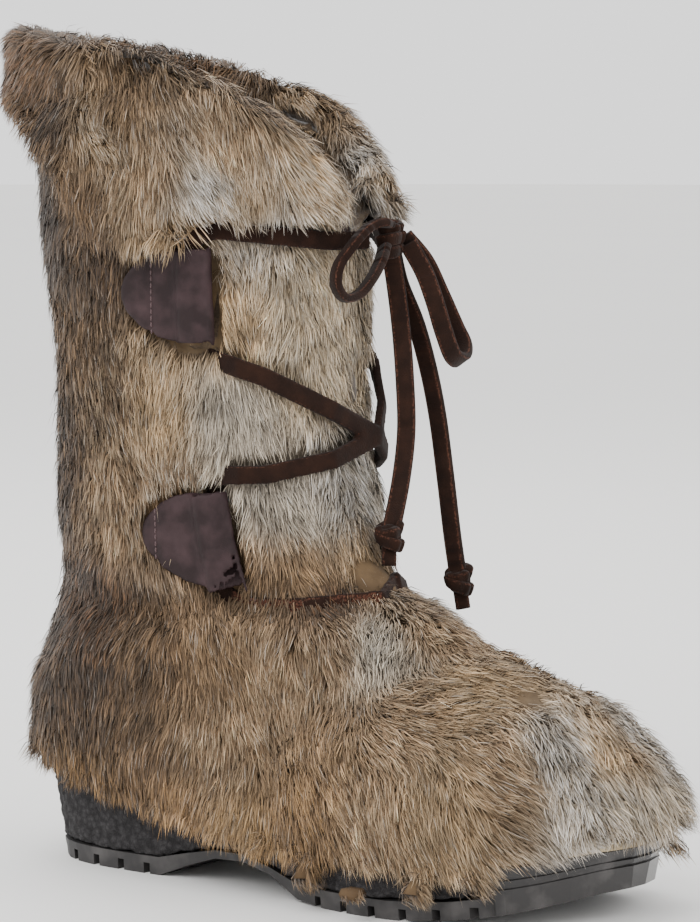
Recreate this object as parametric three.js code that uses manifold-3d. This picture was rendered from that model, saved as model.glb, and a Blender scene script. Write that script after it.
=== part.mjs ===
// A fur winter boot for the right foot: a hollow fur upper with a turned-down fur cuff, and a front slit
// closed by a suede thong that runs through four half-moon leather tabs and ends in a bow, on a rubber wedge
// sole with lugs. Millimetres. +X towards the toe, +Y towards the inner side of the foot, +Z up. The origin is
// on the floor, in the middle of the heel's tread.
import * as THREE from "three";
import { mergeVertices } from "three/addons/utils/BufferGeometryUtils.js";
import Module from "manifold-3d";

const wasm = await Module();
wasm.setup();

// Driving sizes of the whole boot.
const soleLength = 281;
const heelBack = -43; // from the middle of the heel tread to the sole's back
const bootHeight = 346; // floor to the top of the collar at the back of the leg
const soleWidth = 106; // across the ball, at the feather edge
const furOver = 8; // how far the fur stands over the feather edge on each side of the ball
const furWidth = soleWidth + furOver * 2;
const wall = 12; // lining, skin and laid-down fur together
const gap = 0.4; // between pieces that touch

// The sole.
const lugDepth = 4.5;
const treadBase = 3;
const heelThick = 40; // floor to feather edge under the heel
const foreThick = 22; // floor to feather edge under the ball
const archRise = 12;
const toeSpring = 13;
const heelLean = 8; // how far the heel's back leans in from feather edge to floor
const toeLean = 5;
const sideLean = 3;
const lugPitch = 14;
const lugGap = 3.2;
const channelWidth = 5;
const middleLugs = 44; // across the row of lugs in the middle, from channel to channel
const bumperProud = 1.6;
const bumperDeep = 1.2; // how far the bumper is let into the sidewall
const bumperReach = 34; // from the tip of the toe back along the side
const ribWidth = 1.6;
const insoleThick = 3.5;

// The front slit, the tongue behind it and the cuff.
const slitWidth = 9;
const slitTurn = -14; // angle round the leg from the front, in degrees: the slit lies to the inner side
const slitFoot = bootHeight * 0.44; // height of the slit's lower end
const tongueThick = 2.2;
const tongueWidth = 50;
const tongueLap = 14; // of the tongue under the slit's lower end
const tongueTop = bootHeight * 0.765;
const cuffThick = 8;
const cuffDrop = 84; // from the collar's edge down to the cuff's lower edge at the side
const cuffGape = 18; // half the angle, in degrees, that the cuff leaves open at the front
const rollHeight = 14; // of the rolled rim over the upper's own edge

// The leather tabs and the thong.
const tabHeight = 40;
const tabWidth = 41;
const tabThick = 2.4;
const tabDepth = 4; // of the leather's face under the fur's surface
const tabRoom = 1.2; // left round a tab in the fur
const tunnelWide = 16;
const tunnelThick = 9.4;
const tunnelWall = 1.3;
const tunnelTurn = 61; // angle round the leg, in degrees from the front, of the tunnel's middle
const tabMiddles = { top: bootHeight * 0.685, bottom: bootHeight * 0.406 };
const thongWidth = 7.5;
const thongThick = 3.6;
const thongDepth = 3; // of the thong's middle under the fur's surface
const thongRoom = 1; // left round the thong in the fur
const knotSize = [12, 13, 16]; // forward, across and up
const endKnotSize = [12, 12, 14];
const knotHeight = bootHeight * 0.746;
const knotProud = 8; // of the knot's middle over the fur

// The fur.
const lockRelief = 4.2; // height of a lock over the valleys between locks
const hemLock = { length: 17, width: 14, thick: 6 };
const hemCount = 32; // locks round the hem
const hemSpread = { ends: 6, sides: 3.4 }; // of the hem's locks outside the sole
const seamDeep = 4;
const seamHalf = 6;

// The outer form of the upper over its fur, from the collar to the toe. Each row is one section: its rear
// and front ends in the boot's middle plane, x as a share of the sole's length from the sole's back and z as
// a share of the boot's height; half its width as a share of the fur's width; and the wall at its sides and
// front, and at its rear end, as shares of the named wall.
const formRows = [
  { rearX: -0.028, rearZ: 1.06, frontX: 0.532, frontZ: 1.06, half: 0.52, side: 1, base: 1 },
  { rearX: -0.016, rearZ: 0.86, frontX: 0.529, frontZ: 0.86, half: 0.52, side: 1, base: 1 },
  { rearX: 0.006, rearZ: 0.69, frontX: 0.527, frontZ: 0.69, half: 0.513, side: 1, base: 1 },
  { rearX: 0.022, rearZ: 0.55, frontX: 0.535, frontZ: 0.55, half: 0.5, side: 1, base: 1 },
  { rearX: 0.017, rearZ: 0.44, frontX: 0.548, frontZ: 0.44, half: 0.48, side: 1, base: 1 },
  { rearX: 0.022, rearZ: 0.34, frontX: 0.566, frontZ: 0.392, half: 0.466, side: 1.1, base: 1.2 },
  { rearX: -0.008, rearZ: 0.26, frontX: 0.594, frontZ: 0.37, half: 0.458, side: 1.2, base: 1.5 },
  { rearX: -0.044, rearZ: 0.18, frontX: 0.634, frontZ: 0.357, half: 0.453, side: 1.4, base: 1.9 },
  { rearX: -0.052, rearZ: 0.1, frontX: 0.675, frontZ: 0.34, half: 0.451, side: 1.5, base: 1.9 },
  { rearX: -0.026, rearZ: 0.03, frontX: 0.714, frontZ: 0.32, half: 0.451, side: 1.6, base: 1.4 },
  { rearX: 0.1, rearZ: -0.006, frontX: 0.755, frontZ: 0.302, half: 0.453, side: 1.5, base: 0.2 },
  { rearX: 0.257, rearZ: -0.006, frontX: 0.8, frontZ: 0.29, half: 0.462, side: 1.4, base: 0.2 },
  { rearX: 0.416, rearZ: -0.006, frontX: 0.845, frontZ: 0.281, half: 0.48, side: 1.2, base: 0.2 },
  { rearX: 0.564, rearZ: -0.006, frontX: 0.891, frontZ: 0.272, half: 0.496, side: 1.1, base: 0.2 },
  { rearX: 0.693, rearZ: -0.006, frontX: 0.94, frontZ: 0.255, half: 0.5, side: 1.1, base: 0.2 },
  { rearX: 0.802, rearZ: -0.003, frontX: 0.987, frontZ: 0.223, half: 0.47, side: 1.2, base: 0.2 },
  { rearX: 0.893, rearZ: 0.006, frontX: 1.027, frontZ: 0.182, half: 0.405, side: 1.5, base: 0.2 },
  { rearX: 0.965, rearZ: 0.024, frontX: 1.051, frontZ: 0.139, half: 0.306, side: 1.9, base: 0.2 },
  { rearX: 1.01, rearZ: 0.044, frontX: 1.061, frontZ: 0.112, half: 0.185, side: 2.4, base: 0.2 },
  { rearX: 1.032, rearZ: 0.062, frontX: 1.057, frontZ: 0.092, half: 0.07, side: 2.4, base: 0.2 },
].map((row, step) => ({ ...row, step }));

// How square the rear half of a section is, 2 being an ellipse, and the section's shift to the inner side as a
// share of the sole's length.
const squareRows = [
  { step: 0, square: 2.1, shift: 0 },
  { step: 5, square: 2.1, shift: 0 },
  { step: 9, square: 2.7, shift: 0 },
  { step: 12, square: 3.1, shift: -0.01 },
  { step: 14, square: 3.2, shift: 0.002 },
  { step: 16, square: 2.9, shift: 0.022 },
  { step: 19, square: 2, shift: 0.036 },
];
const lastStep = formRows.length - 1;
const innerLastStep = 17.4; // the section where the inside of the toe ends
const legSteps = 9; // the sections that the leg and the ankle take
const frontSquare = 2.1; // how square the front half of every section is

// The sole's outline at the feather edge: x as a share of its length from the back, and how far it reaches to
// the outer and to the inner side as shares of its width.
const outlineRows = [
  { at: 0, outer: 0.06, inner: 0.06 },
  { at: 0.02, outer: 0.19, inner: 0.19 },
  { at: 0.06, outer: 0.29, inner: 0.285 },
  { at: 0.13, outer: 0.352, inner: 0.348 },
  { at: 0.22, outer: 0.367, inner: 0.36 },
  { at: 0.34, outer: 0.365, inner: 0.335 },
  { at: 0.46, outer: 0.4, inner: 0.34 },
  { at: 0.58, outer: 0.465, inner: 0.4 },
  { at: 0.68, outer: 0.5, inner: 0.475 },
  { at: 0.78, outer: 0.47, inner: 0.51 },
  { at: 0.87, outer: 0.375, inner: 0.5 },
  { at: 0.94, outer: 0.245, inner: 0.43 },
  { at: 0.98, outer: 0.1, inner: 0.32 },
  { at: 1, outer: -0.06, inner: 0.15 },
];

// The sole from the side: x as a share of its length, then shares of the arch's rise, the toe spring and the
// lugs' depth in its bottom line, and where its feather edge stands between the two thicknesses.
const profileRows = [
  { at: 0, arch: 0, spring: 0, lug: 1, top: 1.06 },
  { at: 0.1, arch: 0, spring: 0, lug: 1, top: 1 },
  { at: 0.285, arch: 0, spring: 0, lug: 1, top: 0.96 },
  { at: 0.34, arch: 0.6, spring: 0, lug: 0.35, top: 0.86 },
  { at: 0.42, arch: 1, spring: 0, lug: 0, top: 0.64 },
  { at: 0.5, arch: 0.75, spring: 0, lug: 0, top: 0.36 },
  { at: 0.565, arch: 0.08, spring: 0, lug: 0.8, top: 0.14 },
  { at: 0.59, arch: 0, spring: 0, lug: 1, top: 0.08 },
  { at: 0.72, arch: 0, spring: 0, lug: 1, top: 0 },
  { at: 0.8, arch: 0, spring: 0.1, lug: 1, top: 0.02 },
  { at: 0.9, arch: 0, spring: 0.42, lug: 1, top: 0.12 },
  { at: 1, arch: 0, spring: 1, lug: 1, top: 0.42 },
];

// The stretches of the sole that have lugs, as shares of its length, and where their channels start and end.
const lugZones = [
  { from: 0, to: 0.3, channelFrom: 0.07, channelTo: 0.3 },
  { from: 0.575, to: 0.985, channelFrom: 0.575, channelTo: 0.93 },
];

// Where the fur's lower edge hangs over the sole: x as a share of the sole's length, and z as a share of the
// sole's thickness under the heel.
const hemRows = [
  { at: -0.2, high: 1.14 },
  { at: 0, high: 1.12 },
  { at: 0.13, high: 0.94 },
  { at: 0.28, high: 0.74 },
  { at: 0.4, high: 0.58 },
  { at: 0.52, high: 0.43 },
  { at: 0.62, high: 0.34 },
  { at: 0.75, high: 0.32 },
  { at: 0.84, high: 0.4 },
  { at: 0.92, high: 0.62 },
  { at: 1, high: 0.9 },
  { at: 1.2, high: 0.98 },
];

// The collar's edge and the cuff's lower edge round the leg: the angle in degrees from the front, positive on
// the outer side, the edge's height as a share of the boot's height, and the cuff's drop as a share of the
// named drop. The inner side has slouched.
const collarRows = [
  { turn: -180, high: 0.995, drop: 0.41 },
  { turn: -150, high: 0.985, drop: 0.48 },
  { turn: -119, high: 0.965, drop: 0.74 },
  { turn: -103, high: 0.95, drop: 0.83 },
  { turn: -75, high: 0.91, drop: 0.73 },
  { turn: -60, high: 0.872, drop: 0.52 },
  { turn: -33, high: 0.822, drop: 0.24 },
  { turn: -18, high: 0.803, drop: 0.18 },
  { turn: 0, high: 0.81, drop: 0.18 },
  { turn: 12, high: 0.85, drop: 0.34 },
  { turn: 28, high: 0.893, drop: 0.54 },
  { turn: 45, high: 0.925, drop: 0.7 },
  { turn: 60, high: 0.955, drop: 0.84 },
  { turn: 72, high: 0.968, drop: 1 },
  { turn: 90, high: 0.98, drop: 0.97 },
  { turn: 108, high: 0.99, drop: 0.7 },
  { turn: 126, high: 1, drop: 0.47 },
  { turn: 180, high: 0.995, drop: 0.41 },
];

// The fold of the cuff, from its lip inside the boot over the rim, down to its lower edge and back up behind
// it. Each place lies under the rim by shares of the roll's height and of the drop below the roll, and outside
// the fur of the leg by a share of the cuff's thickness, or inside it by a share of the wall. What lies inside
// the leg is cut away.
const cuffFold = [
  { roll: 1.1, down: 0, out: 0, inside: 0.92 },
  { roll: 0.35, down: 0, out: 0, inside: 0.95 },
  { roll: 0, down: 0, out: 0, inside: 0.45 },
  { roll: 0.03, down: 0, out: 0.35, inside: 0 },
  { roll: 0.45, down: 0, out: 0.95, inside: 0 },
  { roll: 1, down: 0.12, out: 1.1, inside: 0 },
  { roll: 1, down: 0.42, out: 1, inside: 0 },
  { roll: 1, down: 0.78, out: 1.05, inside: 0 },
  { roll: 1, down: 1, out: 0.5, inside: 0 },
  { roll: 1, down: 0.96, out: 0, inside: 0.15 },
  { roll: 1, down: 0.1, out: 0, inside: 0.15 },
];

// The way of the thong round a tab's end, from the run in front of the tab into its tunnel: how far past the
// tab's end it lies, by how many degrees in front of the tunnel, and how far it has sunk to the tunnel's depth.
const tabBend = [
  { past: 6, ahead: 9, sunk: 0.2 },
  { past: 4, ahead: 3, sunk: 0.7 },
  { past: 1, ahead: 0, sunk: 1 },
];

// The bow: each strip's way as places forward of the middle of its knot, to the inner side of it and up from
// it, and the way that the strip's breadth runs.
const bow = {
  loopOuter: {
    across: [0.88, -0.46, 0.08],
    points: [
      [1, -4, 6],
      [4, -12, 7],
      [4, -20, 5],
      [2, -28, -2],
      [0, -34, -10],
      [0, -35, -17],
      [1, -31, -22],
      [3, -25, -21],
      [5, -19, -15],
      [5, -13, -8],
      [3, -8, -3],
    ],
  },
  loopInner: {
    across: [0.63, 0.5, 0.6],
    points: [
      [3, 5, 1],
      [8, 12, -9],
      [12, 17, -22],
      [16, 22, -36],
      [20, 22, -43],
      [22, 18, -48],
      [22, 13, -47],
      [20, 9, -37],
      [17, 7, -25],
      [13, 5, -13],
      [6, 4, -2],
    ],
  },
  endOuter: {
    across: [0.79, 0.62, 0],
    points: [
      [1, -1, -6],
      [3, -1, -16],
      [6, -1, -35],
      [8, -1, -56],
      [8, 0, -76],
      [8, -3, -94],
      [8, -8, -110],
      [8, -11, -118],
    ],
  },
  endInner: {
    across: [0.95, 0.2, 0.1],
    points: [
      [-3, 5, -5],
      [-3, 10, -18],
      [2, 14, -34],
      [6, 17, -52],
      [10, 18, -71],
      [14, 18, -95],
      [17, 19, -120],
      [18, 22, -138],
    ],
  },
};

const turnOf = (degrees) => (degrees * Math.PI) / 180;
const mix = (a, b, t) => a + (b - a) * t;
const soleX = (share) => heelBack + share * soleLength;

// The value of a column between the rows of a table, on a smooth curve that keeps within its rows' values.
function read(rows, key, at, column) {
  const last = rows.length - 1;
  if (at <= rows[0][key]) return rows[0][column];
  if (at >= rows[last][key]) return rows[last][column];
  const i = rows.findIndex((row) => row[key] > at) - 1;
  const span = rows[i + 1][key] - rows[i][key];
  const rise = (k) => (rows[k + 1][column] - rows[k][column]) / (rows[k + 1][key] - rows[k][key]);
  const slope = (k) => {
    if (k === 0) return rise(0);
    if (k === last) return rise(last - 1);
    const [before, after] = [rise(k - 1), rise(k)];
    return before * after > 0 ? (2 * before * after) / (before + after) : 0;
  };
  const t = (at - rows[i][key]) / span;
  const [m1, m2] = [slope(i) * span, slope(i + 1) * span];
  const [t2, t3] = [t * t, t * t * t];
  const [from, to] = [rows[i][column], rows[i + 1][column]];
  return (2 * t3 - 3 * t2 + 1) * from + (t3 - 2 * t2 + t) * m1 + (3 * t2 - 2 * t3) * to + (t3 - t2) * m2;
}

// A point on a section of the upper's form, at an angle from its front end, positive towards the outer side of
// the foot. It lies under the fur's surface by depth, and by walls times the wall's own thickness there.
function formPoint(step, turn, depth = 0, walls = 0) {
  const of = (column) => read(formRows, "step", step, column);
  const rear = new THREE.Vector2(soleX(of("rearX")), of("rearZ") * bootHeight);
  const front = new THREE.Vector2(soleX(of("frontX")), of("frontZ") * bootHeight);
  const along = front.clone().sub(rear).normalize();
  const sideIn = depth + walls * wall * of("side");
  rear.addScaledVector(along, depth + walls * wall * of("base"));
  front.addScaledVector(along, -sideIn);
  const reach = Math.max(front.clone().sub(rear).dot(along) / 2, 1);
  const middle = rear.add(front).multiplyScalar(0.5);
  const half = Math.max(of("half") * furWidth - sideIn, 1);
  const [c, n] = [Math.cos(turn), Math.sin(turn)];
  const power = 2 / (c > 0 ? frontSquare : read(squareRows, "step", step, "square"));
  const forth = Math.sign(c) * Math.abs(c) ** power * reach;
  const side = Math.sign(n) * Math.abs(n) ** power * half;
  return new THREE.Vector3(
    middle.x + along.x * forth,
    read(squareRows, "step", step, "shift") * soleLength - side,
    middle.y + along.y * forth,
  );
}

// The section whose point at an angle stands at a height on the leg.
function stepAtHeight(z, turn) {
  let [low, high] = [0, legSteps];
  for (let i = 0; i < 24; i += 1) {
    const middle = (low + high) / 2;
    if (formPoint(middle, turn).z > z) low = middle;
    else high = middle;
  }
  return low;
}

// A point on the leg at a height and an angle in degrees from the front, at a depth under the fur's surface.
function onLeg(z, degrees, depth = 0) {
  const turn = turnOf(degrees);
  return formPoint(stepAtHeight(z, turn), turn, depth);
}

// A closed geometry through rings of equal count, with a fan over each end.
function loft(rings) {
  const count = rings[0].length;
  const positions = rings.flat().flatMap((p) => [p.x, p.y, p.z]);
  const index = [];
  for (let r = 0; r < rings.length - 1; r += 1)
    for (let k = 0; k < count; k += 1) {
      const [a, b] = [r * count + k, r * count + ((k + 1) % count)];
      index.push(a, b, a + count, b, b + count, a + count);
    }
  for (const r of [0, rings.length - 1]) {
    const hub = positions.length / 3;
    const middle = rings[r].reduce((sum, p) => sum.add(p), new THREE.Vector3()).divideScalar(count);
    positions.push(middle.x, middle.y, middle.z);
    for (let k = 0; k < count; k += 1) {
      const [a, b] = [r * count + k, r * count + ((k + 1) % count)];
      index.push(...(r ? [a, b, hub] : [b, a, hub]));
    }
  }
  const geometry = new THREE.BufferGeometry();
  geometry.setAttribute("position", new THREE.Float32BufferAttribute(positions, 3));
  geometry.setIndex(index);
  return geometry;
}

// A closed geometry as a solid for joining and cutting, turned right side out.
function solid(geometry) {
  geometry.deleteAttribute("normal");
  geometry.deleteAttribute("uv");
  const merged = mergeVertices(geometry, 1e-4);
  const vertProperties = merged.attributes.position.array;
  const triVerts = new Uint32Array(merged.index.array);
  const make = () => new wasm.Manifold(new wasm.Mesh({ numProp: 3, vertProperties, triVerts }));
  const made = make();
  if (made.volume() > 0) return made;
  for (let i = 0; i < triVerts.length; i += 3) [triVerts[i], triVerts[i + 1]] = [triVerts[i + 1], triVerts[i]];
  return make();
}

const block = (size, centre) => solid(new THREE.BoxGeometry(...size).translate(...centre));
const joined = (solids) => solids.reduce((all, one) => all.add(one));

// A repeatable number from 0 to 1 for a lock of fur.
function chance(a, b) {
  const wave = Math.sin(a * 127.1 + b * 311.7) * 43758.5453;
  return wave - Math.floor(wave);
}

const ringCount = 32; // points round a section of the fur
const ringsPerStep = 1.2;
const lockColumns = 8; // locks round a section
const lockRings = 3; // rings that one lock spans

// How far a point of the fur stands under the top of its lock.
function lockDip(ring, k) {
  const row = Math.floor(ring / lockRings);
  const along = (ring - row * lockRings) / (lockRings - 1);
  const across = (k / ringCount) * lockColumns + (row % 2) / 2;
  const column = Math.floor(across) % lockColumns;
  const valley = Math.abs(across - Math.floor(across) - 0.5) * 2;
  const height = mix(0.55, 1, chance(row, column)) * mix(0.35, 1, along) * (1 - 0.55 * valley ** 2);
  return lockRelief * (1 - height);
}

// How far the seams press the fur in: round the ankle, over the toe and up each side behind the ball. The
// ankle's seam rises from the heel to the instep, and the toe's sweeps forward towards both sides.
function seamDip(p, step) {
  const at = (p.x - heelBack) / soleLength;
  const ankle = Math.abs(p.z - mix(0.305, 0.405, at) * bootHeight);
  const toe = Math.abs(p.x - soleX(0.8) - Math.abs(p.y) * 0.9);
  const side = Math.abs(p.x - soleX(0.485) + (p.z - foreThick) * 0.12);
  const press = (far) => Math.max(0, 1 - (far / seamHalf) ** 2);
  if (step < legSteps - 2) return seamDeep * press(ankle);
  return seamDeep * Math.max(press(toe), p.z < heelThick * 1.6 ? press(side) : 0);
}

// The outer form as a closed solid, its points sunk under the fur's surface by a depth for each ring and place.
function outerForm(dipAt) {
  const total = Math.round(lastStep * ringsPerStep);
  const rings = Array.from({ length: total + 1 }, (_, r) =>
    Array.from({ length: ringCount }, (__, k) => {
      const step = (r / total) * lastStep;
      const turn = (k / ringCount) * Math.PI * 2;
      return formPoint(step, turn, dipAt(r, k, step, turn));
    }),
  );
  return solid(loft(rings));
}

// The locks fade out over the last rings at the tip of the toe.
const furForm = () =>
  outerForm((r, k, step, turn) => {
    const fade = Math.min(1, (lastStep - step) / lockRings);
    return fade * (lockDip(r, k) + seamDip(formPoint(step, turn), step));
  });

// The inside of the upper as a closed form, made smaller by an inset.
function insideForm(inset) {
  const [count, total] = [20, 16];
  const rings = Array.from({ length: total + 1 }, (_, r) =>
    Array.from({ length: count }, (__, k) =>
      formPoint((r / total) * innerLastStep, (k / count) * Math.PI * 2, inset, 1),
    ),
  );
  return solid(loft(rings));
}

// Everything over a line round the leg that is a height for each angle.
function overTheLeg(heightAt) {
  const centre = formPoint(1, 0).add(formPoint(1, Math.PI)).multiplyScalar(0.5);
  const ringAt = (share, high) =>
    Array.from({ length: ringCount }, (_, k) => {
      const degrees = (k / ringCount) * 360 - 180;
      const p = formPoint(1, turnOf(degrees));
      return new THREE.Vector3(mix(centre.x, p.x, share), mix(centre.y, p.y, share), high(degrees));
    });
  return solid(loft([ringAt(0.2, heightAt), ringAt(1.8, heightAt), ringAt(1.8, () => bootHeight * 1.4)]));
}

const collarHigh = (degrees) => read(collarRows, "turn", degrees, "high") * bootHeight;
const dropAt = (degrees) => read(collarRows, "turn", degrees, "drop") * cuffDrop;

// A tuft of fur: a wedge from a root, along a way, closing to a narrow tip.
function tuft(root, way, out, { length, width, thick }) {
  const across = new THREE.Vector3().crossVectors(way, out).normalize();
  const ringAt = (along, lift, half, deep) =>
    [[-1, -1], [1, -1], [0.6, 1], [-0.6, 1]].map(([a, o]) =>
      root
        .clone()
        .addScaledVector(way, along)
        .addScaledVector(out, lift + o * deep)
        .addScaledVector(across, a * half),
    );
  return solid(loft([ringAt(0, 0, width / 2, thick / 2), ringAt(length, 0, width / 16, thick / 12)]));
}

const scaled = ({ length, width, thick }, share) => ({
  length: length * share,
  width: width * share,
  thick: thick * share,
});

const soleBottom = (at) =>
  read(profileRows, "at", at, "arch") * archRise + read(profileRows, "at", at, "spring") * toeSpring;
const treadTop = (at) => soleBottom(at) + read(profileRows, "at", at, "lug") * lugDepth + treadBase;
const soleTop = (at) => mix(foreThick, heelThick, read(profileRows, "at", at, "top"));

// A ring of the sole across a station. Its sides lean in towards the floor, and so do its two ends.
function soleRing(at, low, high, grow, levels) {
  const side = (column) => read(outlineRows, "at", at, column) * soleWidth + grow;
  const back = heelLean * Math.max(0, 1 - at / 0.16);
  const front = toeLean * Math.max(0, 1 - (1 - at) / 0.16);
  const end = at === 0 ? -grow : at === 1 ? grow : 0;
  const point = (level, towards, reach) => {
    const z = mix(low, high, level);
    const lean = 1 - Math.min(1, Math.max(0, z / soleTop(at)));
    return new THREE.Vector3(soleX(at) + end + (back - front) * lean, towards * (reach - sideLean * lean), z);
  };
  return [
    ...levels.map((level) => point(level, -1, side("outer"))),
    ...levels.toReversed().map((level) => point(level, 1, side("inner"))),
  ];
}

// A slice of the sole between two lines of its side view, grown outwards. Its stations crowd towards both ends.
function soleSlice(low, high, grow = 0, levels = [0, 1]) {
  const stations = 24;
  return solid(
    loft(
      Array.from({ length: stations + 1 }, (_, i) => {
        const share = i / stations;
        const at = i === stations ? 1 : mix((1 - Math.cos(share * Math.PI)) / 2, share, 0.3);
        return soleRing(at, low(at), high(at), grow, levels);
      }),
    ),
  );
}

// The front end of the sole, where the bumper wraps round the toe.
const toeRegion = () => block([bumperReach * 2, soleWidth * 2, heelThick * 4], [soleX(1), 0, 0]);

// The smooth bumper round the toe, with ribs left between its two grooves.
function makeBumper() {
  const top = (at) => soleTop(at) - gap;
  const core = soleSlice((at) => soleBottom(at) - 1, (at) => top(at) + 1, -bumperDeep);
  const ring = soleSlice(soleBottom, top, bumperProud).subtract(core);
  const groove = (share) => {
    const middle = (at) => mix(treadTop(at), top(at), share);
    const band = (half, grow) => soleSlice((at) => middle(at) - half, (at) => middle(at) + half, grow);
    return band(ribWidth / 2, bumperProud * 3).subtract(band(ribWidth, bumperProud * 0.4));
  };
  return ring.subtract(groove(0.3)).subtract(groove(0.62)).intersect(toeRegion());
}

// The grooves between the lugs: across each edge at every pitch from the origin, across the middle half a pitch
// on, and a channel along each side of the middle.
function makeGrooves() {
  const cuts = [];
  const edge = soleWidth / 2;
  const deepAt = (at) => soleBottom(at) + lugDepth;
  const cut = (x, y, width, at) =>
    cuts.push(block([lugGap, width, lugDepth * 2], [x, y, deepAt(at) - lugDepth]));
  for (const { from, to, channelFrom, channelTo } of lugZones) {
    for (let n = Math.ceil(soleX(from) / lugPitch); n * lugPitch < soleX(to); n += 1) {
      const at = (n * lugPitch - heelBack) / soleLength;
      for (const side of [-1, 1]) cut(n * lugPitch, side * (middleLugs / 2 + edge / 2), edge, at);
      cut((n + 0.5) * lugPitch, 0, middleLugs - channelWidth, at);
    }
    const steps = 3;
    for (let i = 0; i < steps; i += 1) {
      const [a, b] = [i, i + 1].map((k) => mix(channelFrom, channelTo, k / steps));
      const low = Math.min(deepAt(a), deepAt(b));
      const size = [(b - a) * soleLength + 1, channelWidth, lugDepth * 2];
      for (const side of [-1, 1])
        cuts.push(block(size, [soleX((a + b) / 2), (side * middleLugs) / 2, low - lugDepth]));
    }
  }
  return joined(cuts);
}

const makeOutsole = () => soleSlice(soleBottom, treadTop).subtract(makeGrooves()).add(makeBumper());

function makeMidsole() {
  const under = (at) => soleBottom(at) - 1;
  const over = (at) => soleTop(at) + 1;
  const body = soleSlice((at) => treadTop(at) + gap, soleTop, 0, [0, 0.5, 1]);
  const recess = soleSlice(under, over, bumperProud * 3)
    .subtract(soleSlice((at) => under(at) - 1, (at) => over(at) + 1, -bumperDeep - gap))
    .intersect(toeRegion().translate([-gap, 0, 0]));
  return body.subtract(recess);
}

function makeInsole() {
  const slice = soleSlice((at) => soleTop(at) + gap, (at) => soleTop(at) + gap + insoleThick, wall);
  return slice.intersect(insideForm(gap));
}

const hemAt = (at) => read(hemRows, "at", at, "high") * heelThick;

// Everything under the line of the hem.
function underHem() {
  const stations = 14;
  const rings = Array.from({ length: stations + 1 }, (_, i) => {
    const at = mix(-0.12, 1.12, i / stations);
    const corners = [[-1, -heelThick], [-1, hemAt(at)], [1, hemAt(at)], [1, -heelThick]];
    return corners.map(([side, z]) => new THREE.Vector3(soleX(at), side * furWidth, z));
  });
  return solid(loft(rings));
}

// The hem's locks hang over the sole all round.
function hemTufts() {
  return Array.from({ length: hemCount }, (_, i) => {
    const inner = i > hemCount / 2;
    const along = (i / hemCount) * 2;
    const at = (1 - Math.cos((inner ? 2 - along : along) * Math.PI)) / 2;
    const reach = read(outlineRows, "at", at, inner ? "inner" : "outer") * soleWidth;
    const edge = new THREE.Vector3(soleX(at), inner ? reach : -reach, 0);
    const heart = new THREE.Vector3(soleX(mix(0.12, 0.82, at)), 0, 0);
    const out = edge.clone().sub(heart).normalize();
    const way = out.clone().multiplyScalar(0.22).setZ(-1).normalize();
    const spread = mix(hemSpread.ends, hemSpread.sides, Math.sin(at * Math.PI)) + hemLock.thick * 0.3;
    const root = edge.addScaledVector(out, spread).setZ(hemAt(at) + hemLock.length * 0.5);
    return tuft(root, way, out, scaled(hemLock, mix(0.8, 1.12, chance(i, 3))));
  });
}

// A strip along a path of { at, out } places, with a section given as [across, out] pairs.
function strip(path, section) {
  return loft(
    path.map(({ at, out }, i) => {
      const before = path[Math.max(i - 1, 0)].at;
      const after = path[Math.min(i + 1, path.length - 1)].at;
      const way = after.clone().sub(before).normalize();
      const across = new THREE.Vector3().crossVectors(way, out).normalize();
      const proud = new THREE.Vector3().crossVectors(across, way).normalize();
      return section.map(([a, o]) => at.clone().addScaledVector(across, a).addScaledVector(proud, o));
    }),
  );
}

// The thong's section: a flat strap with its corners taken off.
function thongSection() {
  const [w, t, c] = [thongWidth / 2, thongThick / 2, thongThick * 0.28];
  return [
    [-w, -t + c],
    [-w + c, -t],
    [w - c, -t],
    [w, -t + c],
    [w, t - c],
    [w - c, t],
    [-w + c, t],
    [-w, t - c],
  ];
}

// The thong's plain section, with a room round it that is open outwards by a lift.
function roomSection(room = 0, lift = 0) {
  const [w, t] = [thongWidth / 2 + room, thongThick / 2 + room];
  return [
    [-w, -t],
    [w, -t],
    [w, t + lift],
    [-w, t + lift],
  ];
}

const outwardOnLeg = (z, degrees) => onLeg(z, degrees, -5).sub(onLeg(z, degrees, 5)).normalize();
const legPlace = (z, degrees, depth) => ({ at: onLeg(z, degrees, depth), out: outwardOnLeg(z, degrees) });

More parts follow.
